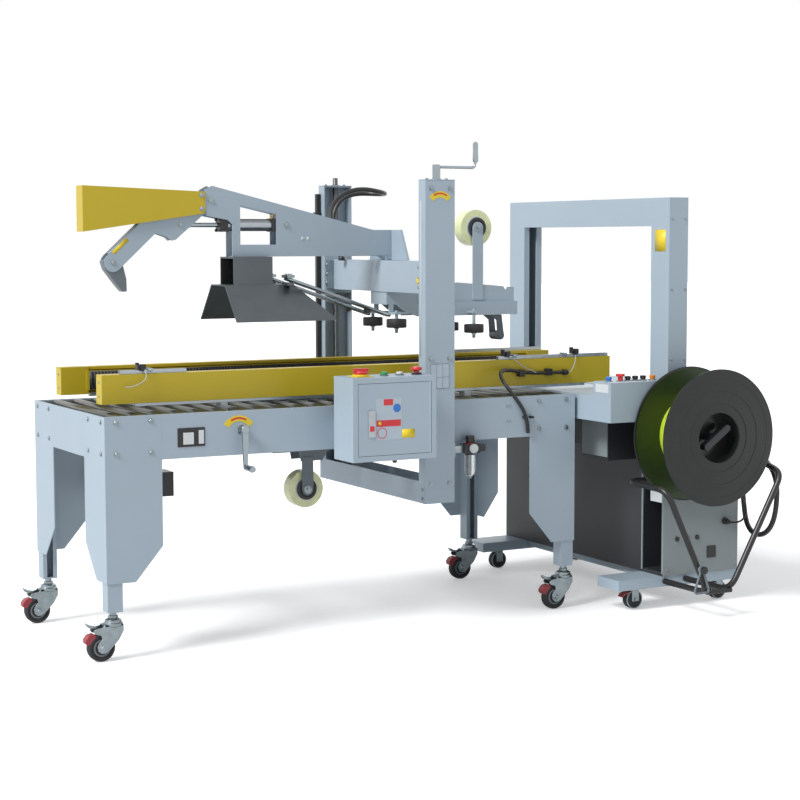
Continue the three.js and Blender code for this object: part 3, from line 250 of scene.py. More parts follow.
class Shape:
    """Collects one piece's faces in mm of the line, then turns them into an object that rides on a body."""

    def __init__(self):
        self.bm = bmesh.new()

    def loops(self, rings, closed_ring=True, caps=True):
        made = [[self.bm.verts.new(p) for p in ring] for ring in rings]
        count = len(made[0])
        for a, b in zip(made, made[1:]):
            for i in range(count if closed_ring else count - 1):
                j = (i + 1) % count
                self.bm.faces.new((a[i], a[j], b[j], b[i]))
        if caps:
            self.bm.faces.new(list(reversed(made[0])))
            self.bm.faces.new(made[-1])
        return self

    def block(self, x0, x1, y0, y1, z0, z1):
        y0, y1 = sorted((y0, y1))
        corners = ((x0, y0), (x1, y0), (x1, y1), (x0, y1))
        return self.loops([[(x, y, z) for x, y in corners] for z in (z0, z1)])

    def prism(self, plane, outline, low, high):
        lift = LIFT[plane]
        low, high = sorted((low, high))
        return self.loops([[lift(u, v, w) for u, v in outline] for w in (low, high)])

    def lathe(self, centre, axis, profile, sides=40, closed=False):
        """profile is (radius, place along the axis) from one end to the other; closed joins last to first."""
        along = AXES[axis] if isinstance(axis, str) else Vector(axis).normalized()
        across = along.orthogonal().normalized()
        other = along.cross(across)
        centre = Vector(centre)
        rings = []
        for radius, height in profile:
            base = centre + along * height
            ring = []
            for i in range(sides):
                turn = 2 * math.pi * i / sides
                ring.append(base + (across * math.cos(turn) + other * math.sin(turn)) * max(radius, 0.01))
            rings.append(ring)
        if closed:
            rings.append(rings[0])
            made = [[self.bm.verts.new(p) for p in ring] for ring in rings[:-1]]
            made.append(made[0])
            for a, b in zip(made, made[1:]):
                for i in range(sides):
                    j = (i + 1) % sides
                    self.bm.faces.new((a[i], a[j], b[j], b[i]))
            return self
        return self.loops(rings)

    def bar(self, start, end, radius, sides=24, edge=0.8):
        start, end = Vector(start), Vector(end)
        length = (end - start).length
        edge = min(edge, radius / 3, length / 3)
        profile = [(radius - edge, 0), (radius, edge), (radius, length - edge), (radius - edge, length)]
        return self.lathe(start, (end - start), profile, sides)

    def tube(self, points, radius, sides=14, radii=None):
        points = [Vector(p) for p in points]
        side = None
        rings = []
        for i, point in enumerate(points):
            before = points[max(i - 1, 0)]
            after = points[min(i + 1, len(points) - 1)]
            along = (after - before).normalized()
            side = along.orthogonal() if side is None else side - along * side.dot(along)
            side.normalize()
            other = along.cross(side)
            r = radius if radii is None else radii[i]
            turns = [2 * math.pi * k / sides for k in range(sides)]
            rings.append([point + (side * math.cos(t) + other * math.sin(t)) * r for t in turns])
        return self.loops(rings)

    def bolt(self, centre, axis, size=7.0, height=5.0):
        """A hexagon head on a washer; axis points out of the surface."""
        along = Vector(axis).normalized()
        centre = Vector(centre)
        self.lathe(centre, along, [(size * 1.35, 0), (size * 1.35, 1.2), (size, 1.4)], 20)
        head = [(size, 1.2), (size, height - 1), (size * 0.82, height), (size * 0.3, height)]
        return self.lathe(centre, along, head, 6)

    def screw(self, centre, axis, size=5.0, height=2.5):
        profile = [(size, 0), (size * 0.95, height * 0.5), (size * 0.6, height), (size * 0.42, height),
                   (size * 0.4, height * 0.35)]
        return self.lathe(centre, Vector(axis).normalized(), profile, 18)

    def make(self, name, body, material, bevel=0.0, replaces=(), angle=35):
        bm = self.bm
        bmesh.ops.recalc_face_normals(bm, faces=bm.faces)
        for vert in bm.verts:
            vert.co = vert.co / 1000 + ORIGIN
        limit = math.radians(angle)
        for edge in bm.edges:
            edge.smooth = len(edge.link_faces) == 2 and edge.calc_face_angle(0) < limit
        mesh = bpy.data.meshes.new(name)
        bm.to_mesh(mesh)
        bm.free()
        for polygon in mesh.polygons:
            polygon.use_smooth = True
        mesh.materials.append(MAT[material])
        made = bpy.data.objects.new(name, mesh)
        bpy.context.scene.collection.objects.link(made)
        if bevel:
            soften(made, bevel)
        if body is not None:
            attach(made, body)
        if replaces:
            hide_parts(*replaces)
        return made


def soften(thing, width, segments=2):
    modifier = thing.modifiers.new("edges", "BEVEL")
    modifier.width = width / 1000
    modifier.segments = segments
    modifier.limit_method = "ANGLE"
    modifier.angle_limit = math.radians(32)
    modifier.harden_normals = True


def smooth_path(corners, radius):
    """Corner points joined by straight runs, with each corner rounded to the radius, as close points."""
    corners = [Vector(p) for p in corners]
    path = [corners[0]]
    for before, here, after in zip(corners, corners[1:], corners[2:]):
        back, onward = before - here, after - here
        turn = back.angle(onward)
        reach = min(radius / math.tan(turn / 2), back.length * 0.48, onward.length * 0.48)
        a, b = here + back.normalized() * reach, here + onward.normalized() * reach
        for i in range(9):
            t = i / 8
            path.append(a * (1 - t) ** 2 + here * 2 * t * (1 - t) + b * t * t)
    path.append(corners[-1])
    return path


def spline(points, count=60):
    """A smooth curve through the points, as close points."""
    points = [Vector(p) for p in points]
    padded = [points[0] * 2 - points[1], *points, points[-1] * 2 - points[-2]]
    path = []
    per = max(2, count // (len(points) - 1))
    for p0, p1, p2, p3 in zip(padded, padded[1:], padded[2:], padded[3:]):
        for i in range(per):
            t = i / per
            path.append(
                0.5 * ((2 * p1) + (p2 - p0) * t + (2 * p0 - 5 * p1 + 4 * p2 - p3) * t ** 2
                       + (3 * p1 - p0 - 3 * p2 + p3) * t ** 3)
            )
    path.append(points[-1])
    return path


# ---------------------------------------------------------------- carried-over sheet metal

KEEP = {
    "paint": ["bed_frame", "leg_front_left", "leg_front_right", "leg_back_left", "leg_back_right",
              "leg_tube_front_left", "leg_tube_front_right", "leg_tube_back_left", "leg_tube_back_right",
              "mast_front", "mast_back", "tie_channel", "control_box", "control_door", "strapper_table",
              "strapper_arch", "cross_beam", "boom", "kicker_arm", "top_tape_head", "strapper_base"],
    "yellow": ["kicker_guard", "side_drive_near", "side_drive_far"],
    "dark": ["kicker_finger", "top_roller_arm", "bottom_tape_head"],
    "plough": ["flap_plough"],
    "black": ["strapper_cabinet"],
}


def dress_cad():
    for material, names in KEEP.items():
        for name in names:
            thing = nodes[name]
            thing.data.materials.clear()
            thing.data.materials.append(MAT[material])
            flatten = thing.modifiers.new("flat_faces", "DECIMATE")
            flatten.decimate_type = "DISSOLVE"
            flatten.angle_limit = math.radians(0.5)
            soften(thing, 0.8)


dress_cad()
CORNERS = [(side, end) for side in ("front", "back") for end in ("left", "right")]
BED, HALF, TOP, BOTTOM = 1765, 361.5, 777, 634
INSET = 28.3

# ---------------------------------------------------------------- bed, rollers, casters


def rollers():
    shape = Shape()
    frames = Shape()
    for k in range(-6, 18):
        x = 500 + 72 * k
        if 716 <= x <= 1220:
            spans = [(-338, -60), (60, 338)]
        else:
            spans = [(-338, 338)]
        for a, b in spans:
            profile = [(8, 0), (8, 3), (13, 3), (15.2, 3.6), (16, 5), (16, b - a - 5), (15.2, b - a - 3.6),
                       (13, b - a - 3), (8, b - a - 3), (8, b - a)]
            shape.lathe((x, a, 763), "y", profile, 28)
    for side in (-1, 1):
        frames.block(7.6, BED - 7.6, side * 353.9, side * 334.5, 750.7, 772.7)
        frames.block(644, 1292, side * 62, side * 54, 751, 772)
    shape.make("rollers", "frame", "roller", replaces=["roller_bed"])
    frames.make("roller_side_bars", "frame", "zinc", 0.6)


def arc_band(x, z, outer, inner, start, sweep, lift=0.0):
    """An outline between two arcs, for a curved sticker; lift raises the inner arc's centre."""
    turns = [math.radians(start + sweep * i / 12) for i in range(13)]
    high = [(x + outer * math.cos(t), z + outer * math.sin(t)) for t in turns]
    low = [(x + inner * math.cos(t), z + lift + inner * math.sin(t)) for t in reversed(turns)]
    return high + low


def bed_fixings():
    bolts = Shape()
    for side in (-1, 1):
        y = side * HALF
        for x0 in (0, BED - 190):
            for x in (x0 + 37, x0 + 153):
                for z in (TOP - 18, BOTTOM + 25):
                    bolts.bolt((x, y, z), (0, side, 0), 6.5, 4.5)
    for end, x in ((-1, 0), (1, BED)):
        for side in (-1, 1):
            for y in (side * (HALF - 36), side * (HALF - 158)):
                for z in (TOP - 18, BOTTOM + 25):
                    bolts.bolt((x, y, z), (end, 0, 0), 6, 4)
    for x in (1478, 1490):
        for z in (TOP - 30, BOTTOM + 60):
            bolts.screw((x, -HALF, z), (0, -1, 0), 4)
    bolts.make("leg_bolts", "frame", "zinc")
    Shape().block(243, 337, -HALF - 2.4, -HALF, 670, 731).make("name_plate_blank", "frame", "black_plastic",
            1.5)
    windows = Shape()
    windows.block(262, 298, -HALF - 3.2, -HALF - 2, 678, 716)
    windows.block(315, 333, -HALF - 3.2, -HALF - 2, 678, 722)
    windows.make("plate_windows", "frame", "label", 0.8)
    Shape().prism("xz", arc_band(455, 700, 63, 43, 35, 110), -HALF - 0.8, -HALF).make("width_arc_sticker",
            "frame", "label_yellow")
    Shape().prism("xz", arc_band(455, 700, 57, 51, 60, 60), -HALF - 1.2, -HALF - 0.8).make("width_arc_mark",
            "frame", "red")


def caster(side, end):
    name = f"{side}_{end}"
    x = INSET if end == "left" else BED - INSET
    y = (HALF - INSET) * (-1 if side == "front" else 1)
    wx = x - 42
    wheel = Shape()
    tread = [(14, -15), (17, -16), (28, -13), (33, -13), (35, -15.5), (40, -16), (44.2, -11), (45, -4),
            (45, 4), (44.2, 11), (40, 16), (35, 15.5), (33, 13), (28, 13), (17, 16), (14, 15), (5.6, 15),
            (5.6, -15)]
    wheel.lathe((wx, y, 45), "y", tread, 44, closed=True)
    wheel.make(f"wheel_{name}", f"caster_wheel_{name}", "rubber", replaces=[f"caster_wheel_{name}"])
    hub = Shape()
    for s in (-1, 1):
        hub.lathe((wx, y, 45), (0, s, 0), [(27, 11.5), (28, 13.4), (25, 14.2), (14, 15.2), (8, 15.4)], 30)
    hub.make(f"wheel_hub_{name}", f"caster_wheel_{name}", "dark")
    fork = Shape()
    fork.bar((x, y, 126), (x, y, 155.5), 11, 24)
    fork.lathe((x, y, 0), "z", [(22, 108), (28, 111), (31, 116), (31, 121), (27, 124), (26, 131), (18,
            135)], 36)
    fork.lathe((x, y, 0), "z", [(15, 134), (16, 136), (16, 143), (14, 145)], 6)
    cheek = [(27, 118), (28, 96), (12, 68), (-20, 36), (-33, 28), (-46, 28), (-56, 36), (-60, 50), (-55, 62),
             (-44, 74), (-47, 86), (-66, 92), (-72, 100), (-66, 108), (-40, 112), (-34, 118)]
    for s in (-1, 1):
        fork.prism("xz", [(x + u, v) for u, v in cheek], y + s * 18.5, y + s * 21.5)
        fork.lathe((wx, y, 45), (0, s, 0), [(11, 21.5), (11, 23), (9, 24)], 24)
        fork.lathe((wx, y, 45), (0, s, 0), [(7.5, 23), (7.5, 28), (6, 29)], 6)
    fork.block(x - 34, x + 27, y - 21.5, y + 21.5, 112, 118)
    fork.make(f"fork_{name}", f"caster_fork_{name}", "zinc", 0.7, replaces=[f"caster_fork_{name}"])
    pedal = Shape()
    outline = [(x - 68, 92), (x - 60, 84), (x - 76, 60), (x - 86, 56), (x - 96, 62), (x - 97, 74), (x - 86,
            88)]
    pedal.prism("xz", outline, y - 15, y + 15)
    pedal.make(f"brake_pedal_{name}", f"caster_fork_{name}", "pedal", 2.2)
    Shape().prism("xz", [(x - 58, 104), (x - 84, 112), (x - 92, 122), (x - 88, 126), (x - 76, 118), (x - 56,
            114)], y - 9, y + 9).make(f"brake_lever_{name}", f"caster_fork_{name}", "zinc", 1.5)


# ---------------------------------------------------------------- masts, screws, cranks


def thread(shape, x, y, low, high, radius=10, pitch=4.0):
    profile = [(radius - 1, low)]
    z = low + 1
    while z < high - pitch:
        profile += [(radius - 1.3, z), (radius, z + pitch * 0.35), (radius, z + pitch * 0.6),
                    (radius - 1.3, z + pitch * 0.95)]
        z += pitch
    profile.append((radius - 1, high))
    shape.lathe((x, y, 0), "z", profile, 20)


def screws_and_cranks():
    back = Shape()
    thread(back, 1181, 383.3, 485.3, 1559.7)
    back.make("thread_back", "lead_screw_back", "screw_steel", replaces=["lead_screw_back"], angle=50)
    front = Shape()
    thread(front, 1181, -383.3, 485.3, 1540)
    front.make("thread_front", "height_crank", "screw_steel", angle=50)
    crank = Shape()
    crank.lathe((1181, -383.3, 0), "z", [(12, 1529), (14, 1530), (14, 1580), (12, 1582)], 32)
    path = smooth_path([(1190, -383.3, 1574), (1330, -383.3, 1574), (1335, -383.3, 1594)], 14)
    crank.tube(path, 5, 16)
    crank.lathe((1335, -383.3, 0), "z", [(7, 1592), (9.5, 1596), (10.3, 1608), (9, 1630), (9.8, 1648),
                                          (8.5, 1658), (4, 1662)], 28)
    crank.make("height_crank_handle", "height_crank", "chrome", replaces=["height_crank"])
    cap = Shape()
    nuts = Shape()
    for side in (-1, 1):
        y = side * 385.2
        cap.block(1123, 1239, y - 24.4, y + 24.6, 1528.9, 1531.4)
        nuts.lathe((1181, side * 383.3, 0), "z", [(17, 1531.4), (17, 1534), (12.5, 1534), (12.5, 1531.4)],
                   28, closed=True)
        for x in (1143, 1219):
            nuts.bolt((x, y, 1531.4), (0, 0, 1), 5, 5)
    cap.make("mast_caps", "frame", "paint", 0.6)
    nuts.make("mast_cap_nuts", "frame", "zinc")
    width = Shape()
    width.bar((464, -392, 719), (464, 366.5, 719), 9, 24)
    width.lathe((464, 0, 719), "y", [(12, -400), (14, -398), (14, -363), (12, -361.9)], 28)
    arm = [(456, 733), (472, 733), (475, 722), (471, 594), (468, 588), (460, 588), (457, 594), (453, 722)]
    width.prism("xz", arm, -397.8, -390.8)
    width.make("width_crank_arm", "width_crank", "chrome", 1.2, replaces=["width_crank"])
    Shape().lathe((464, 0, 595), "y", [(5, -456), (9.5, -455), (11, -448), (9.2, -430), (10.2, -412), (8,
            -404), (6, -398)], 28).make("width_crank_grip", "width_crank", "chrome")
    bearing = Shape()
    for side in (-1, 1):
        bearing.lathe((464, 0, 719), (0, side, 0), [(19, HALF), (19, HALF + 1.2), (17, HALF + 2)], 32)
    bearing.make("crank_flange", "frame", "zinc")


def mast_details():
    bolts = Shape()
    for x in (1145, 1217):
        for z in (925, 497):
            bolts.bolt((x, -409, z), (0, -1, 0), 6.5, 4.5)
        bolts.bolt((x + 2, -409, 1500), (0, -1, 0), 6.5, 6)
        for z in (520, 650, 760, 925):
            bolts.bolt((x, 409, z), (0, 1, 0), 6.5, 4.5)
    for z in (446, 476):
        bolts.bolt((1124, -385, z), (-1, 0, 0), 5, 4)
    bolts.make("mast_bolts", "frame", "zinc")
    Shape().prism("xz", arc_band(1181, 1440, 52, 34, 38, 104, -3), -409.9, -409).make("height_arc_sticker",
            "frame", "label_yellow")
    Shape().prism("xz", arc_band(1181, 1440, 47, 42, 55, 70), -410.3, -409.8).make("height_arc_mark",
            "frame", "red")
    Shape().block(1143, 1216, -409.6, -409, 824, 908).make("mast_label_blank", "frame", "label_pale", 0.2)
    frame_lines = Shape()
    for z in (824, 862, 907):
        frame_lines.block(1143, 1216, -409.9, -409.5, z, z + 1)
    for x in (1143, 1166, 1190, 1215):
        frame_lines.block(x, x + 1, -409.9, -409.5, 824, 908)
    frame_lines.make("mast_label_lines", "frame", "dark")
    Shape().block(1105, 1122, 388, 404, 504, 1500).make("cable_duct", "frame", "black_plastic", 1.2)
    clamps = Shape()
    for z in (620, 1030, 1420):
        clamps.block(1098, 1123.9, 384, 407, z, z + 12)
    clamps.make("cable_duct_clamps", "frame", "black_plastic", 1.5)
    Shape().block(1123.4, 1124, -378, -374, 930, 1460).make("height_scale", "frame", "label")


# ---------------------------------------------------------------- boom and kicker


def boom_details():
    bolts = Shape()
    for side in (-1, 1):
        y = side * 28
        bolts.bolt((504, y, 1463), (0, side, 0), 9, 6)
        bolts.bolt((787, y, 1380), (0, side, 0), 8, 5)
    for z in (1280, 1340):
        for y in (-70, 70):
            bolts.bolt((1209, y, z), (1, 0, 0), 7, 5)
    bolts.make("boom_bolts", "head", "zinc")
    caps = Shape()
    for x in (847, 869):
        caps.screw((x, -28, 1334), (0, -1, 0), 5.5)
    caps.make("boom_caps", "head", "white")
    seam = Shape()
    for side in (-1, 1):
        outline = [(1036, 1274), (1192, 1274), (1192, 1362), (1128, 1362), (1128, 1312), (1036, 1312)]
        seam.prism("xz", outline, side * 28, side * 28.9)
    seam.make("boom_root_plates", "head", "boom_seam", 0.4)
    guard_bolts = Shape()
    for side in (-1, 1):
        for x, z in ((470, 1480), (470, 1434)):
            guard_bolts.bolt((x, side * 31.5, z), (0, side, 0), 6, 4.5)
    guard_bolts.make("guard_bolts", "head", "zinc")
    stickers = Shape()
    along, off = Vector((0.735, 0.678)), Vector((-0.678, 0.735))
    corners = [(22, 16), (90, 16), (90, 29), (22, 29)]
    outline = [(158 + along.x * u + off.x * v, 1255 + along.y * u + off.y * v) for u, v in corners]
    stickers.prism("xz", outline, -20.8, -20)
    stickers.make("arm_sticker_blank", "kicker_arm", "label_yellow")
    pins = Shape()
    for side in (-1, 1):
        pins.bolt((158, side * 20, 1255), (0, side, 0), 7.5, 5)
        pins.bolt((398, side * 20, 1380), (0, side, 0), 6.5, 5)
    pins.make("arm_pins", "kicker_arm", "zinc")
    brackets = Shape()
    for side in (-1, 1):
        brackets.block(1131, 1158, side * 349, side * 360.6, 1148, 1253)
        for z in (1168, 1202, 1236):
            brackets.bolt((1131, side * 354, z), (-1, 0, 0), 6, 6)
    brackets.make("beam_brackets", "head", "zinc", 0.8)
    star = Shape()
    lobes = []
    for i in range(60):
        turn = 2 * math.pi * i / 60
        reach = 11 + 2.2 * math.cos(5 * turn)
        lobes.append((-322 + reach * math.cos(turn), 1190 + reach * math.sin(turn)))
    star.prism("yz", lobes, 1141, 1156.5)
    star.make("beam_star_knob", "head", "label_yellow", 1.5)


def air_cylinder():
    shape = Shape()
    shape.lathe((0, 0, 1380), "x", [(17, 562), (19, 564), (19, 748), (17, 750)], 40)
    shape.prism("xz", [(750, 1366), (793, 1366), (801, 1380), (793, 1394), (750, 1394)], -9, 9)
    shape.make("cylinder_barrel", "kicker_cylinder", "aluminium", 0.8, replaces=["kicker_cylinder"])
    caps = Shape()
    caps.block(543, 571, -23, 23, 1357, 1403)
    caps.block(734, 752, -23, 23, 1357, 1403)
    for y in (-18, 18):
        for z in (1362, 1398):
            caps.bar((571, y, z), (734, y, z), 2.6, 12)
            caps.bolt((543, y, z), (-1, 0, 0), 4.5, 5)
    caps.make("cylinder_caps", "kicker_cylinder", "black_plastic", 1.2)
    fittings = Shape()
    for x in (556, 743):
        fittings.bar((x, 0, 1402), (x, 0, 1414), 5, 6)
        fittings.bar((x, 0, 1412), (x, -14, 1412), 5.5, 16)
    fittings.make("cylinder_fittings", "kicker_cylinder", "brass", 0.4)
    rod = Shape()
    rod.bar((398, 0, 1380), (605, 0, 1380), 8, 32)
    rod.lathe((398, 0, 1380), "y", [(8, -8), (12, -7), (12, 7), (8, 8)], 32)
    rod.lathe((0, 0, 1380), "x", [(11, 424), (12, 426), (12, 438), (11, 440)], 6)
    rod.make("cylinder_rod", "kicker_rod", "chrome", replaces=["kicker_rod"])


def flap_rods():
    for name, side in (("near", -1), ("far", 1)):
        def drop(x):
            return 1193.3 + (1062 - 1193.3) * (x - 771) / (1160 - 771)
        near, far = side * 64, side * 90
        points = [(761, near, drop(761)), (1160, near, drop(1160)), (1160, far, drop(1160)), (761, far,
                drop(761))]
        Shape().tube(smooth_path(points, 13), 6, 16).make(f"flap_guide_{name}", "head", "chrome",
                replaces=[f"flap_rod_{name}"])
        clamp = Shape()
        clamp.block(755, 783, side * 52, side * 100, 1199.5, 1209)
        for y in (side * 58, side * 77, side * 96):
            clamp.bolt((769, y, 1209), (0, 0, 1), 4.5, 4)
        clamp.make(f"flap_guide_clamp_{name}", "head", "zinc", 0.8)
        Shape().lathe((1075, side * 77, 1084), "z", [(10, -12), (13, -10), (13, 10), (10, 12)],
                6).make(f"flap_guide_spacer_{name}", "head", "black_plastic", 0.6)


# ---------------------------------------------------------------- tape rolls and heads


def tape_roll(name, body, node, x, z):
    shape = Shape()
    near, far = -31.2, 16.5
    profile = [(38, near + 1), (39, near), (65, near), (66, near + 1), (66, far - 1), (65, far), (39, far),
               (38, far - 1)]
    shape.lathe((x, 0, z), "y", profile, 72, closed=True)
    shape.make(name, body, "wound_tape", replaces=[node])
    Shape().lathe((x, 0, z), "y", [(38, near - 1.5), (41, near - 1.5), (41, far + 1.5), (38, far + 1.5)], 60,
            closed=True).make(f"{name}_core", body, "label")


def roll_hub(name, body, x, z):
    """Black chucks on both faces of a tape roll, and the nut on its arm."""
    hub = Shape()
    hub.lathe((x, 0, z), "y", [(37.4, 16.6), (37.6, 19), (33, 20), (26, 20), (24, 18), (12, 18), (12, 24),
            (8, 25)], 48)
    ring = [(37.4, -35.9), (37.6, -39.4), (33, -40.6), (28, -40.6), (26, -38), (12.4, -38), (12.4, -35.9)]
    hub.lathe((x, 0, z), "y", ring, 48, closed=True)
    hub.make(name, body, "black_plastic")
    nut = Shape()
    nut.lathe((x, 0, z), (0, -1, 0), [(15, 45.6), (15, 48), (12, 49)], 30)
    nut.bolt((x, -48.8, z), (0, -1, 0), 7, 6)
    nut.make(f"{name}_nut", body, "zinc")


def press_rollers():
    for kind, x, z in (("entry", 1185, 1017), ("exit", 1505, 991)):
        for word, side in (("near", -1), ("far", 1)):
            y = side * 90
            node = f"press_roller_{kind}_{word}"
            shape = Shape()
            profile = [(6.4, 0), (14, 0), (16, 2), (30, 2), (34, 1), (36, 4), (36, 29), (34, 32), (30, 31),
                       (16, 31), (14, 33), (6.4, 33)]
            shape.lathe((x, y, z), "z", profile, 44, closed=True)
            shape.make(f"{node}_tyre", node, "rubber", replaces=[node])
            Shape().lathe((x, y, z), (0, 0, -1), [(10, 0.5), (10, 3), (6, 4), (6, 16), (4.5, 18)],
                    6).make(f"{node}_nut", "head", "zinc")


# ---------------------------------------------------------------- side drives


def drive_details(word, side):
    inner, outer = side * 176, side * 233
    belt = Shape()
    low, high = 820, 884
    belt.block(137, 1907, inner - side * 0.7, inner + side * 11, low, high)
    for i in range(147):
        x = 142 + i * 12
        belt.block(x, x + 7, inner - side * 2.2, inner, low + 2, high - 2)
    belt.make(f"side_belt_{word}", f"side_drive_{word}", "belt")
    Shape().block(38, 2006, inner + side * 10, inner + side * 14, 889,
            899.4).make(f"drive_edge_{word}", f"side_drive_{word}", "yellow", 0.8)
    screws = Shape()
    for x in (2006, 38):
        for z in (830, 875):
            screws.screw((x, side * 205, z), (1 if x > 100 else -1, 0, 0), 4)
    screws.make(f"drive_screws_{word}", f"side_drive_{word}", "zinc")
    rail = Shape()
    rail.block(150, 1895, outer - side * 2, outer - side * 20, 795, 804.8)
    for x in (464, 1400):
        rail.block(x - 13, x + 13, side * 204.5 - 19, side * 204.5 + 19, 741, 804.8)
    rail.make(f"drive_foot_rail_{word}", f"side_drive_{word}", "aluminium", 0.8)


def drive_sensors():
    """Slotted aluminium profiles along the drives' tops, with photo eyes clamped in them."""
    rail = Shape()
    for a, b in ((102, 330), (1525, 2000)):
        rail.block(a, b, -228, -212, 900, 903)
        rail.block(a, b, -228, -222.5, 903, 912)
        rail.block(a, b, -217.5, -212, 903, 912)
    rail.make("sensor_rails", "side_drive_near", "aluminium", 0.6)
    eyes = Shape()
    for x in (160, 1545, 1840):
        eyes.block(x, x + 30, -231, -209, 913, 930)
        eyes.block(x - 3, x + 8, -227, -213, 930, 936)
        eyes.block(x + 9, x + 21, -238, -231, 908, 926)
    eyes.make("sensor_heads", "side_drive_near", "black_plastic", 1.6)
    clamps = Shape()
    for x in (196, 1585, 1800):
        clamps.block(x, x + 16, -234, -206, 905, 917)
        clamps.bolt((x + 8, -234, 911), (0, -1, 0), 4, 5)
    clamps.make("sensor_clamps", "side_drive_near", "zinc", 0.8)
    Shape().block(1500, 1990, 212, 228, 900, 912).make("sensor_rail_far", "side_drive_far", "aluminium", 0.8)


# ---------------------------------------------------------------- control box


def control_box_details():
    box_low, box_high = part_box("control_box")
    box_front = (box_low.y - ORIGIN.y) * 1000
    top = (box_high.z - ORIGIN.z) * 1000
    left = (box_low.x - ORIGIN.x) * 1000
    face = box_front
    by = face + 66
    switch, start, stop, emergency = left + 62, left + 148, left + 206, left + 270
    inside = 18
    Shape().block(left + inside, left + 308 - inside, face + 4, face + 11.8, 611 + inside,
            top - inside).make("door_gasket", "frame", "dark", 0.6)
    Shape().block(left + 54, left + 81, face - 3.5, face, 690, 778).make("door_latch", "control_door",
            "aluminium", 1.6)
    Shape().block(left + 60, left + 75, face - 6, face - 3, 710, 728).make("door_latch_button",
            "control_door", "red", 1.2)
    Shape().block(left + 84, left + 178, face - 0.5, face, 680, 816).make("door_label_blank", "control_door",
            "label_pale", 0.2)
    red = Shape()
    red.block(left + 111, left + 145, face - 0.9, face - 0.4, 793, 813)
    red.block(left + 85, left + 174, face - 0.9, face - 0.4, 724, 745)
    ring = [(18, 0.4), (18, 0.9), (15.5, 0.9), (15.5, 0.4)]
    red.lathe((left + 105, face, 703), (0, -1, 0), ring, 36, closed=True)
    red.make("door_marks_red", "control_door", "red")
    Shape().lathe((left + 160, face, 783), (0, -1, 0), [(14, 0.4), (14, 0.9)], 36).make("door_mark_blue",
            "control_door", "blue")
    yellow = Shape()
    yellow.block(left + 179, left + 226, face - 0.6, face, 684, 712)
    yellow.block(left + 92, left + 102, face - 1.2, face - 0.8, 730, 740)
    yellow.make("door_marks_yellow", "control_door", "label_yellow")
    plate = Shape()
    plate.block(switch - 31, switch + 31, by - 31, by + 31, top + 0.2, top + 3)
    plate.lathe((switch, by, top), "z", [(28, 3), (28, 7), (26, 8), (9.8, 8), (9.8, 3)], 40, closed=True)
    plate.make("switch_plate", "frame", "label_yellow", 0.8)
    knob = Shape()
    knob.lathe((switch, by, top), "z", [(9, -6), (9, 8.3), (23, 8.3), (24, 10), (24, 15), (20, 17), (20,
            20)], 40)
    handle = [(switch - 26, by - 6), (switch + 26, by - 6), (switch + 29, by), (switch + 26, by + 6),
              (switch - 26, by + 6), (switch - 29, by)]
    knob.prism("xy", handle, top + 17, top + 27)
    knob.make("switch_knob", "main_switch", "red", 1.4, replaces=["main_switch"])
    collar = Shape()
    for x in (start, stop):
        profile = [(15, 0.2), (15, 2.6), (13.4, 4), (11.6, 4), (11.6, 0.2)]
        collar.lathe((x, by, top), "z", profile, 32, closed=True)
    collar.make("button_collars", "frame", "dark")
    for x, node, colour, height in ((start, "start_button", "green", 9), (stop, "stop_button", "white", 7)):
        cap = Shape()
        rim = 4.5 + height
        cap.lathe((x, by, top), "z", [(6, -6.3), (6, 4.5), (10.6, 4.5), (11, 6), (10.6, rim - 1),
                                      (9, rim), (3, rim - 0.6)], 32)
        cap.make(f"{node}_cap", node, colour, replaces=[node])
    Shape().lathe((emergency, by, top), "z", [(17, 0.2), (17, 5), (15.5, 6.6), (9.8, 6.6), (9.8, 0.2)], 36,
            closed=True).make("stop_collar", "frame", "black_plastic")
    Shape().lathe((emergency, by, top), "z", [(9, -6.3), (9, 14), (15, 14.3), (19, 17), (19, 20), (17, 24),
            (11, 26), (4, 26)], 40).make("emergency_stop_head", "emergency_stop", "red",
            replaces=["emergency_stop"])
    gland = Shape()
    for x in (left + 90, left + 200):
        gland.lathe((x, face + 90, 611), (0, 0, -1), [(11, 0), (11, 8), (8, 9), (8, 18), (6, 20)], 6)
    gland.make("box_glands", "frame", "black_plastic", 0.8)


# ---------------------------------------------------------------- motor and air unit


def motor_details():
    shape = Shape()
    profile = [(30, 190), (40, 193), (42, 200)]
    x = 206
    while x < 392:
        profile += [(38, x), (38, x + 4), (42.5, x + 4), (42.5, x + 8)]
        x += 8
    profile += [(42, 400), (40, 407)]
    shape.lathe((0, 240, 474), "x", profile, 48)
    shape.block(387, 447, 197, 283, 431, 517)
    shape.block(284, 316, 210, 270, 509, 636)
    shape.block(274, 326, 206, 274, 635, 639.6)
    shape.make("motor_body", "frame", "black_plastic", 1.0, replaces=["drive_motor"], angle=50)


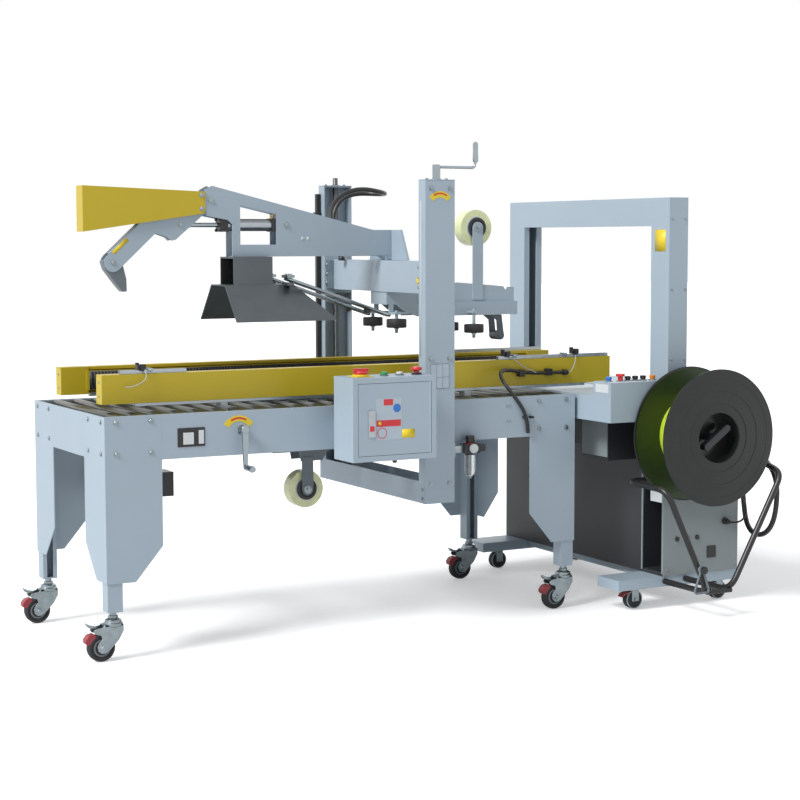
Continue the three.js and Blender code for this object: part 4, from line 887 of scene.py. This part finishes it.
def regulator_details():
    x, y = 1312, -388
    body = Shape()
    body.block(x - 30, x + 30, y - 21, y + 21, 594, 627)
    body.bar((x + 28, y, 610), (x + 56, y, 610), 14, 28)
    body.lathe((x, y, 0), "z", [(20, 588), (20, 595)], 32)
    body.make("regulator_body", "frame", "black_plastic", 2.0, replaces=["air_regulator"])
    knob = Shape()
    profile = [(15, 629), (16, 631), (16, 650), (14, 654), (6, 655)]
    knob.lathe((x, y, 0), "z", profile, 24)
    knob.make("regulator_knob", "frame", "black_plastic", 0.6)
    Shape().lathe((x, y, 0), "z", [(14, 626.5), (16.8, 627), (16.8, 629), (14, 629.5)],
            32).make("regulator_ring", "frame", "red")
    Shape().lathe((x, y, 0), "z", [(6, 505), (8, 512), (16, 518), (18.5, 528), (18.5, 588)],
            36).make("regulator_bowl", "frame", "bowl")
    Shape().lathe((x, y - 21, 611), (0, -1, 0), [(15, 0), (16, 3), (16, 9), (14.5, 10), (14, 8.6), (2, 8.6)],
            36).make("regulator_gauge", "frame", "label")
    bracket = Shape()
    bracket.block(1238.3, 1282, y - 6, y + 6, 597, 621)
    bracket.block(1238.3, 1243, y - 18, y + 18, 585, 633)
    bracket.make("regulator_bracket", "frame", "zinc", 0.8)


# ---------------------------------------------------------------- strapping station


def reel_pieces():
    x, z = 2112, 636
    back, front = -571.5, -746.5
    flanges = Shape()
    f_profile = [(91, front), (94, front + 1), (236, front), (241, front + 1.5), (241, front + 3.5), (238,
            front + 5), (91, front + 5)]
    flanges.lathe((x, 0, z), "y", f_profile, 120, closed=True)
    b_profile = [(46, back), (236, back), (241, back - 1.5), (241, back - 3.5), (238, back - 5), (46,
            back - 5)]
    flanges.lathe((x, 0, z), "y", b_profile, 120, closed=True)
    flanges.lathe((x, 0, z), "y", [(91, front + 1), (88, front + 1), (88, front + 70), (91, front + 74)], 80,
                  closed=True)
    flanges.lathe((x, 0, z), "y", [(15.4, front + 66), (90, front + 66), (90, front + 71), (15.4,
            front + 71)], 80, closed=True)
    flanges.lathe((x, 0, z), "y", [(15.4, back), (48, back), (48, front + 72), (15.4, front + 72)], 60,
            closed=True)
    for radius in (120, 165, 210):
        flanges.lathe((x, 0, z), "y", [(radius, front - 0.1), (radius + 4, front - 0.1), (radius + 4,
                front + 2), (radius, front + 2)], 120, closed=True)
    flanges.make("reel_flanges", "strap_reel", "reel_plastic", replaces=["strap_reel"])
    coil = Shape()
    profile = []
    # A ring of painted sheen on the back flange's inner face, around the coil: dark green colour standing in
    # for the strap's sheen there, not the flange's own colour.
    Shape().lathe((x, 0, z), "y", [(133, back - 5.6), (234, back - 5.6), (234, back - 5.1), (133,
            back - 5.1)], 120, closed=True).make("reel_inner_painted_sheen", "strap_reel", "reel_painted_sheen")
    rows = 13
    width = (back - 5) - (front + 5)
    for i in range(rows):
        a = front + 5 + width * i / rows
        profile += [(130, a + 0.6), (132, a + 2), (132, a + width / rows - 2), (130, a + width / rows - 0.6)]
    profile += [(92, back - 5.3), (92, front + 5.3)]
    coil.lathe((x, 0, z), "y", profile, 96, closed=True)
    coil.make("strap_coil", "strap_reel", "wound_strap")


def guard_tubes():
    start = -532.4
    behind = -(531.5 + 571.5) / 2
    shape = Shape()
    left = [(2044, start, 100), (2052, -771.5, 96), (1871, -771.5, 468), (1862, behind, 477), (2085,
            behind, 477)]
    right = [(2136, start, 102), (2150, -771.5, 98), (2375, -771.5, 500), (2386, behind, 552), (2322,
            behind, 552)]
    shape.tube(smooth_path(left, 55), 11, 20)
    shape.tube(smooth_path(right, 55), 11, 20)
    shape.bar((2046, -769.5, 98), (2156, -769.5, 98), 8, 20)
    shape.bar((2009, -771.5, 186), (2009, -801.5, 186), 8, 20)
    shape.block(2063, 2087, behind, -531.8, 466, 488)
    shape.block(2320, 2344, behind, -531.8, 541, 563)
    shape.make("guard_hoops", "frame", "hose", 0, replaces=["reel_guard"])
    loop = Shape()
    y = -791.5
    path = smooth_path([(2003, y, 180), (1975, y, 104), (2043, y, 104), (2015, y, 180)], 12)
    loop.tube(path, 4, 14)
    loop.lathe((2009, 0, 186), "y", [(8.4, -798.5), (13, -798.5), (13, -784.5), (8.4, -784.5)], 32,
            closed=True)
    loop.make("dancer_loop", "dancer_arm", "dark", replaces=["dancer_arm"])
    Shape().lathe((2009, 0, 186), (0, -1, 0), [(12, 799), (13, 801), (13, 809), (10, 811)],
            28).make("dancer_knob", "frame", "black_plastic")


def station_details():
    panel = Shape()
    panel.block(2035, 2372, -535.3, -531.3, 117.6, 686)
    panel.block(2035, 2372, 531.3, 535.3, 117.6, 686)
    panel.make("cabinet_panels", "frame", "grey_panel", 1.0)
    edge = Shape()
    edge.block(2031.5, 2036, -535, -527, 126, 666)
    edge.block(2031.5, 2036, -411.5, -404, 126, 666)
    edge.make("recess_edges", "frame", "grey_panel", 0.8)
    vents = Shape()
    for i in range(7):
        vents.block(2371.9, 2373.4, -120, 120, 500 + i * 18, 507 + i * 18)
    vents.make("cabinet_vents", "frame", "black", 0.3)
    seams = Shape()
    for x, z in ((2050, 140), (2357, 140), (2050, 668), (2357, 668)):
        seams.screw((x, -535.3, z), (0, -1, 0), 5)
    for y in (-470, 470):
        for x in (1795, 2385):
            seams.screw((x, y, 777), (0, 0, 1), 5)
    seams.make("station_screws", "frame", "zinc")
    sockets = Shape()
    for x, z in ((2095, 250), (2140, 250), (2185, 250)):
        sockets.lathe((x, -535.3, z), (0, -1, 0), [(9, 0), (9, 4), (7, 5.5), (3, 5.5)], 24)
    sockets.lathe((2310, -535.3, 300), (0, -1, 0), [(14, 0), (14, 10), (10, 12), (10, 26), (8, 28)], 6)
    sockets.block(2230, 2270, -538, -535, 170, 214)
    sockets.make("station_sockets", "frame", "black_plastic", 0.8)
    Shape().block(2240, 2300, -536, -535.2, 420, 456).make("station_label_blank", "frame", "label")
    Shape().block(1883.5, 1885.2, -395, -235, 545, 676).make("terminal_cover", "frame", "grey_panel", 0.8)
    Shape().block(2052, 2056, -512, -430, 380, 520).make("recess_plate", "frame", "label", 0.6)
    Shape().block(1960, 2034, -200, -60, 560, 686).make("under_table_box", "frame", "black_plastic", 2.0)
    wheels = Shape()
    hubs = Shape()
    for x in (1950, 2332):
        for side in (-1, 1):
            y = side * 465.5
            wheels.lathe((x, y, 34), "y", [(12, -15.4), (29, -15), (34.3, -11), (34.4, -3), (34.4, 3),
                    (34.3, 11), (29, 15), (12, 15.4)], 36)
            for s in (-1, 1):
                hubs.block(x - 14, x + 16, y + s * 15.6, y + s * 18.4, 27, 78)
                hubs.bolt((x, y + s * 17.4, 34), (0, s, 0), 6, 5)
            hubs.lathe((x, y, 0), "z", [(22, 66), (24, 70), (24, 78), (20, 80)], 28)
    wheels.make("station_wheels", "frame", "rubber")
    hubs.make("station_forks", "frame", "zinc", 0.6)
    pedals = Shape()
    for x in (1950, 2332):
        pedals.prism("xz", [(x - 20, 64), (x - 48, 58), (x - 56, 46), (x - 50, 44), (x - 40, 52), (x - 18,
                56)], -479, -452)
    pedals.make("station_pedals", "frame", "pedal", 1.4)


def console_details():
    top = 829
    y = -511
    collars = Shape()
    for x in (1806, 1856, 1888, 1920, 1954, 1995):
        collars.lathe((x, y, top), "z", [(14.5, 0), (14.5, 2.4), (13, 3.6)], 28)
    collars.make("console_collars", "frame", "zinc")
    for colour, xs in (("blue", (1806,)), ("red", (1856,)), ("black_plastic", (1888, 1920, 1954)),
                       ("orange", (1995,))):
        caps = Shape()
        for x in xs:
            tall = 24 if colour == "red" else 15
            head = 16 if colour == "red" else 11
            caps.lathe((x, y, top + 3), "z", [(9, 0), (9, tall - 10), (head, tall - 9), (head, tall - 2),
                                              (head - 2, tall), (3, tall)], 28)
        caps.make(f"console_caps_{colour}", "frame", colour)
    Shape().block(1778, 1779.2, -548, -470, 792, 822).make("console_plate_blank", "frame", "label", 0.3)
    Shape().block(1784, 2024, -552, -535, top, top + 0.8).make("console_strip_blank", "frame", "label")


def arch_details():
    y_out = 425 + 107.5
    screws = Shape()
    for side in (-1, 1):
        for z in (800, 830):
            screws.bolt((2048, side * (y_out - 25), z), (-1, 0, 0), 6, 5)
            screws.bolt((2130, side * (y_out - 25), z), (1, 0, 0), 6, 5)
        for z in (900, 1150, 1400):
            screws.screw((2060, side * y_out, z), (0, side, 0), 4.5)
            screws.screw((2118, side * y_out, z), (0, side, 0), 4.5)
    screws.screw((2089, 0, 1477), (0, 0, 1), 6)
    screws.make("arch_screws", "frame", "zinc")
    Shape().block(2047.2, 2048, -511, -448, 1286, 1363).make("arch_label_blank", "frame", "label_yellow")


# ---------------------------------------------------------------- hoses


def half_turn(middle, radius, tilt):
    """Points of a hose's half-turn in the plane of Y and tilt, from the near side to the far side."""
    turned = []
    for i in range(6):
        angle = math.pi * i / 5
        side = -math.cos(angle) * radius
        out = math.sin(angle) * radius
        turned.append((middle[0] + tilt[0] * out, middle[1] + side, middle[2] + tilt[1] * out))
    return turned


def even_steps(path, count):
    """The same line with its points the same distance apart."""
    gaps = [(b - a).length for a, b in zip(path, path[1:])]
    step = sum(gaps) / (count - 1)
    spread, at_length, i = [path[0]], 0.0, 0
    for k in range(1, count - 1):
        while at_length + gaps[i] < k * step:
            at_length += gaps[i]
            i += 1
        spread.append(path[i].lerp(path[i + 1], (k * step - at_length) / gaps[i]))
    return [*spread, path[-1]]


def settle(path, rounds=40):
    """Evens out the bends, as a hose's own stiffness does, with both ends held."""
    for _ in range(rounds):
        inner = [a * 0.25 + b * 0.5 + c * 0.25 for a, b, c in zip(path, path[1:], path[2:])]
        path = [path[0], *inner, path[-1]]
    return path


def hose(name, body, points, diameter, material="hose", rings=False):
    """A held hose between two fixed ends, with ribs where it is a corrugated conduit."""
    path = settle(even_steps(spline(points, 200), 90))
    shape = Shape()
    if rings:
        radii = [diameter / 2 * (1.0 if i % 2 else 0.84) for i in range(len(path))]
        shape.tube(path, diameter / 2, 14, radii)
    else:
        shape.tube(path, diameter / 2, 14)
    made = shape.make(name, body, material)
    return made


def hoses():
    """The line's held hoses and cables, each clipped or plugged at both ends."""
    loop_out = [(1003, 30, 1360), (1001, 66, 1394), (1010, 94, 1440), (1034, 100, 1472), (1070, 102, 1496),
                (1114, 102, 1512), (1164, 102, 1516)]
    loop_back = [(1160, 270, 1492), (1126, 268, 1466), (1108, 262, 1430), (1104, 256, 1380), (1116, 252,
            1320), (1140, 250, 1258)]
    loop = loop_out + half_turn((1204, 186, 1504), 84, (1, -0.1)) + loop_back
    hose("boom_hose", "head", loop, 17)
    along = [(1798, -246, 847), (1740, -247, 847), (1680, -247, 848), (1620, -248, 852), (1565, -252, 862),
             (1515, -268, 868), (1484, -300, 852), (1484, -340, 820), (1502, -366, 785), (1528, -374, 750),
             (1550, -374, 712), (1560, -373, 680), (1560, -371, 648)]
    conduit = hose("drive_conduit", None, along, 14, rings=True)
    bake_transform(conduit)
    for word, x, far in (("left", 1560, 1700), ("right", 1856, 1812)):
        down = [(x, -228, 915), (x + (far - x) * 0.2, -242, 896), (x + (far - x) * 0.45, -250, 872),
                (x + (far - x) * 0.8, -252, 850), (far, -246, 845)]
        hose(f"sensor_cable_{word}", "side_drive_near", down, 3.4, "cable_grey")
    entry = [(175, -228, 916), (186, -242, 900), (178, -250, 880), (140, -252, 862), (112, -246, 860)]
    hose("sensor_cable_entry", "side_drive_near", entry, 3.4, "cable_grey")
    bundle = [(2350, -536, 560), (2378, -568, 562), (2404, -616, 548), (2416, -668, 508), (2414, -702, 455),
              (2408, -708, 392)]
    bundle += half_turn((2402, -622, 334), 86, (-0.12, -1))
    bundle += [(2392, -537, 400), (2384, -537, 450)]
    hose("station_bundle", "frame", bundle, 19)
    thin = [(2310, -562, 300), (2330, -578, 298), (2352, -590, 310), (2368, -588, 345), (2362, -570, 385),
            (2352, -548, 420), (2350, -535, 438)]
    hose("station_lead", "frame", thin, 7)
    clips = Shape()
    for x in (1598, 1716):
        clips.block(x, x + 22, -257, -233.5, 838, 863)
    clips.lathe((1792, -246, 847), "x", [(9.5, -4), (11, -2), (11, 14), (9, 18)], 24)
    clips.make("conduit_clips", "side_drive_near", "black_plastic", 1.4)
    skirt_clip = Shape()
    skirt_clip.block(1541, 1551.5, -383, -361.5, 700, 708)
    skirt_clip.block(1568.5, 1579, -383, -361.5, 700, 708)
    skirt_clip.make("conduit_skirt_clip", "frame", "black_plastic", 1.2)
    ends = Shape()
    ends.lathe((1003, 30, 1360), (0, -1, 0), [(13, -2), (13, 3), (10, 5)], 24)
    ends.lathe((1140, 250, 1256), "z", [(13, -3), (13, 6), (10, 12)], 24)
    ends.make("boom_hose_glands", "head", "black_plastic")


rollers()
bed_fixings()
hoses()
for corner in CORNERS:
    caster(*corner)
screws_and_cranks()
mast_details()
boom_details()
air_cylinder()
flap_rods()
tape_roll("tape_top", "top_tape_roll", "top_tape_roll", 1549, 1372)
tape_roll("tape_bottom", "bottom_tape_roll", "bottom_tape_roll", 854, 456)
roll_hub("top_roll_hub", "head", 1549, 1372)
roll_hub("bottom_roll_hub", "frame", 854, 456)
press_rollers()
drive_details("near", -1)
drive_details("far", 1)
drive_sensors()
control_box_details()
motor_details()
regulator_details()
reel_pieces()
guard_tubes()
station_details()
console_details()
arch_details()

# ---------------------------------------------------------------- floor and light


def floor_material():
    """A pale floor that a direct look sees a little brighter, so that it meets the backdrop without an edge."""
    made = new_material("floor_white", (0.9, 0.9, 0.9), 0.9)
    tone(made, (0.9, 0.9, 0.9), 0.01, 1.0)
    tree = made.node_tree
    rays = add_node(made, "ShaderNodeLightPath")
    lift = add_node(made, "ShaderNodeEmission", Color=(1, 1, 1, 1), Strength=0.36)
    dark = add_node(made, "ShaderNodeEmission", Color=(1, 1, 1, 1), Strength=0.0)
    choose = add_node(made, "ShaderNodeMixShader")
    link(made, rays.outputs["Is Camera Ray"], choose.inputs["Fac"])
    link(made, dark.outputs[0], choose.inputs[1])
    link(made, lift.outputs[0], choose.inputs[2])
    both = add_node(made, "ShaderNodeAddShader")
    link(made, tree.nodes["Principled BSDF"].outputs[0], both.inputs[0])
    link(made, choose.outputs[0], both.inputs[1])
    link(made, both.outputs[0], tree.nodes["Material Output"].inputs["Surface"])
    return made


def set_stage():
    floor = bpy.data.meshes.new("floor")
    size = 40
    floor.from_pydata([(-size, -size, -0.0005), (size, -size, -0.0005), (size, size, -0.0005), (-size,
            size, -0.0005)], [], [(0, 1, 2, 3)])
    floor.materials.append(floor_material())
    plane = bpy.data.objects.new("floor", floor)
    bpy.context.scene.collection.objects.link(plane)
    world = bpy.data.worlds.new("studio")
    bpy.context.scene.world = world
    world.use_nodes = True
    world.node_tree.nodes.clear()
    rays = add_node(world, "ShaderNodeLightPath")
    seen = add_node(world, "ShaderNodeMath", operation="MAXIMUM")
    link(world, rays.outputs["Is Camera Ray"], seen.inputs[0])
    link(world, rays.outputs["Is Glossy Ray"], seen.inputs[1])
    also = add_node(world, "ShaderNodeMath", operation="MAXIMUM")
    link(world, seen.outputs[0], also.inputs[0])
    link(world, rays.outputs["Is Transmission Ray"], also.inputs[1])
    soft = add_node(world, "ShaderNodeBackground", Color=(0.95, 0.97, 1.0, 1), Strength=0.43)
    white = add_node(world, "ShaderNodeBackground", Color=(1, 1, 1, 1), Strength=1.0)
    mix = add_node(world, "ShaderNodeMixShader")
    link(world, also.outputs[0], mix.inputs["Fac"])
    link(world, soft.outputs[0], mix.inputs[1])
    link(world, white.outputs[0], mix.inputs[2])
    link(world, mix.outputs[0], add_node(world, "ShaderNodeOutputWorld").inputs["Surface"])
    for name, strength, angle, direction in (
        ("key", 3.0, 20, (0.85, 0.22, -0.80)),
        ("back_fill", 0.35, 60, (-0.75, -0.55, -0.3)),
    ):
        data = bpy.data.lights.new(name, "SUN")
        data.energy = strength
        data.angle = math.radians(angle)
        lamp = bpy.data.objects.new(name, data)
        bpy.context.scene.collection.objects.link(lamp)
        lamp.rotation_euler = Vector(direction).to_track_quat("-Z", "Y").to_euler()


set_stage()
bpy.context.scene.view_settings.view_transform = "Standard"
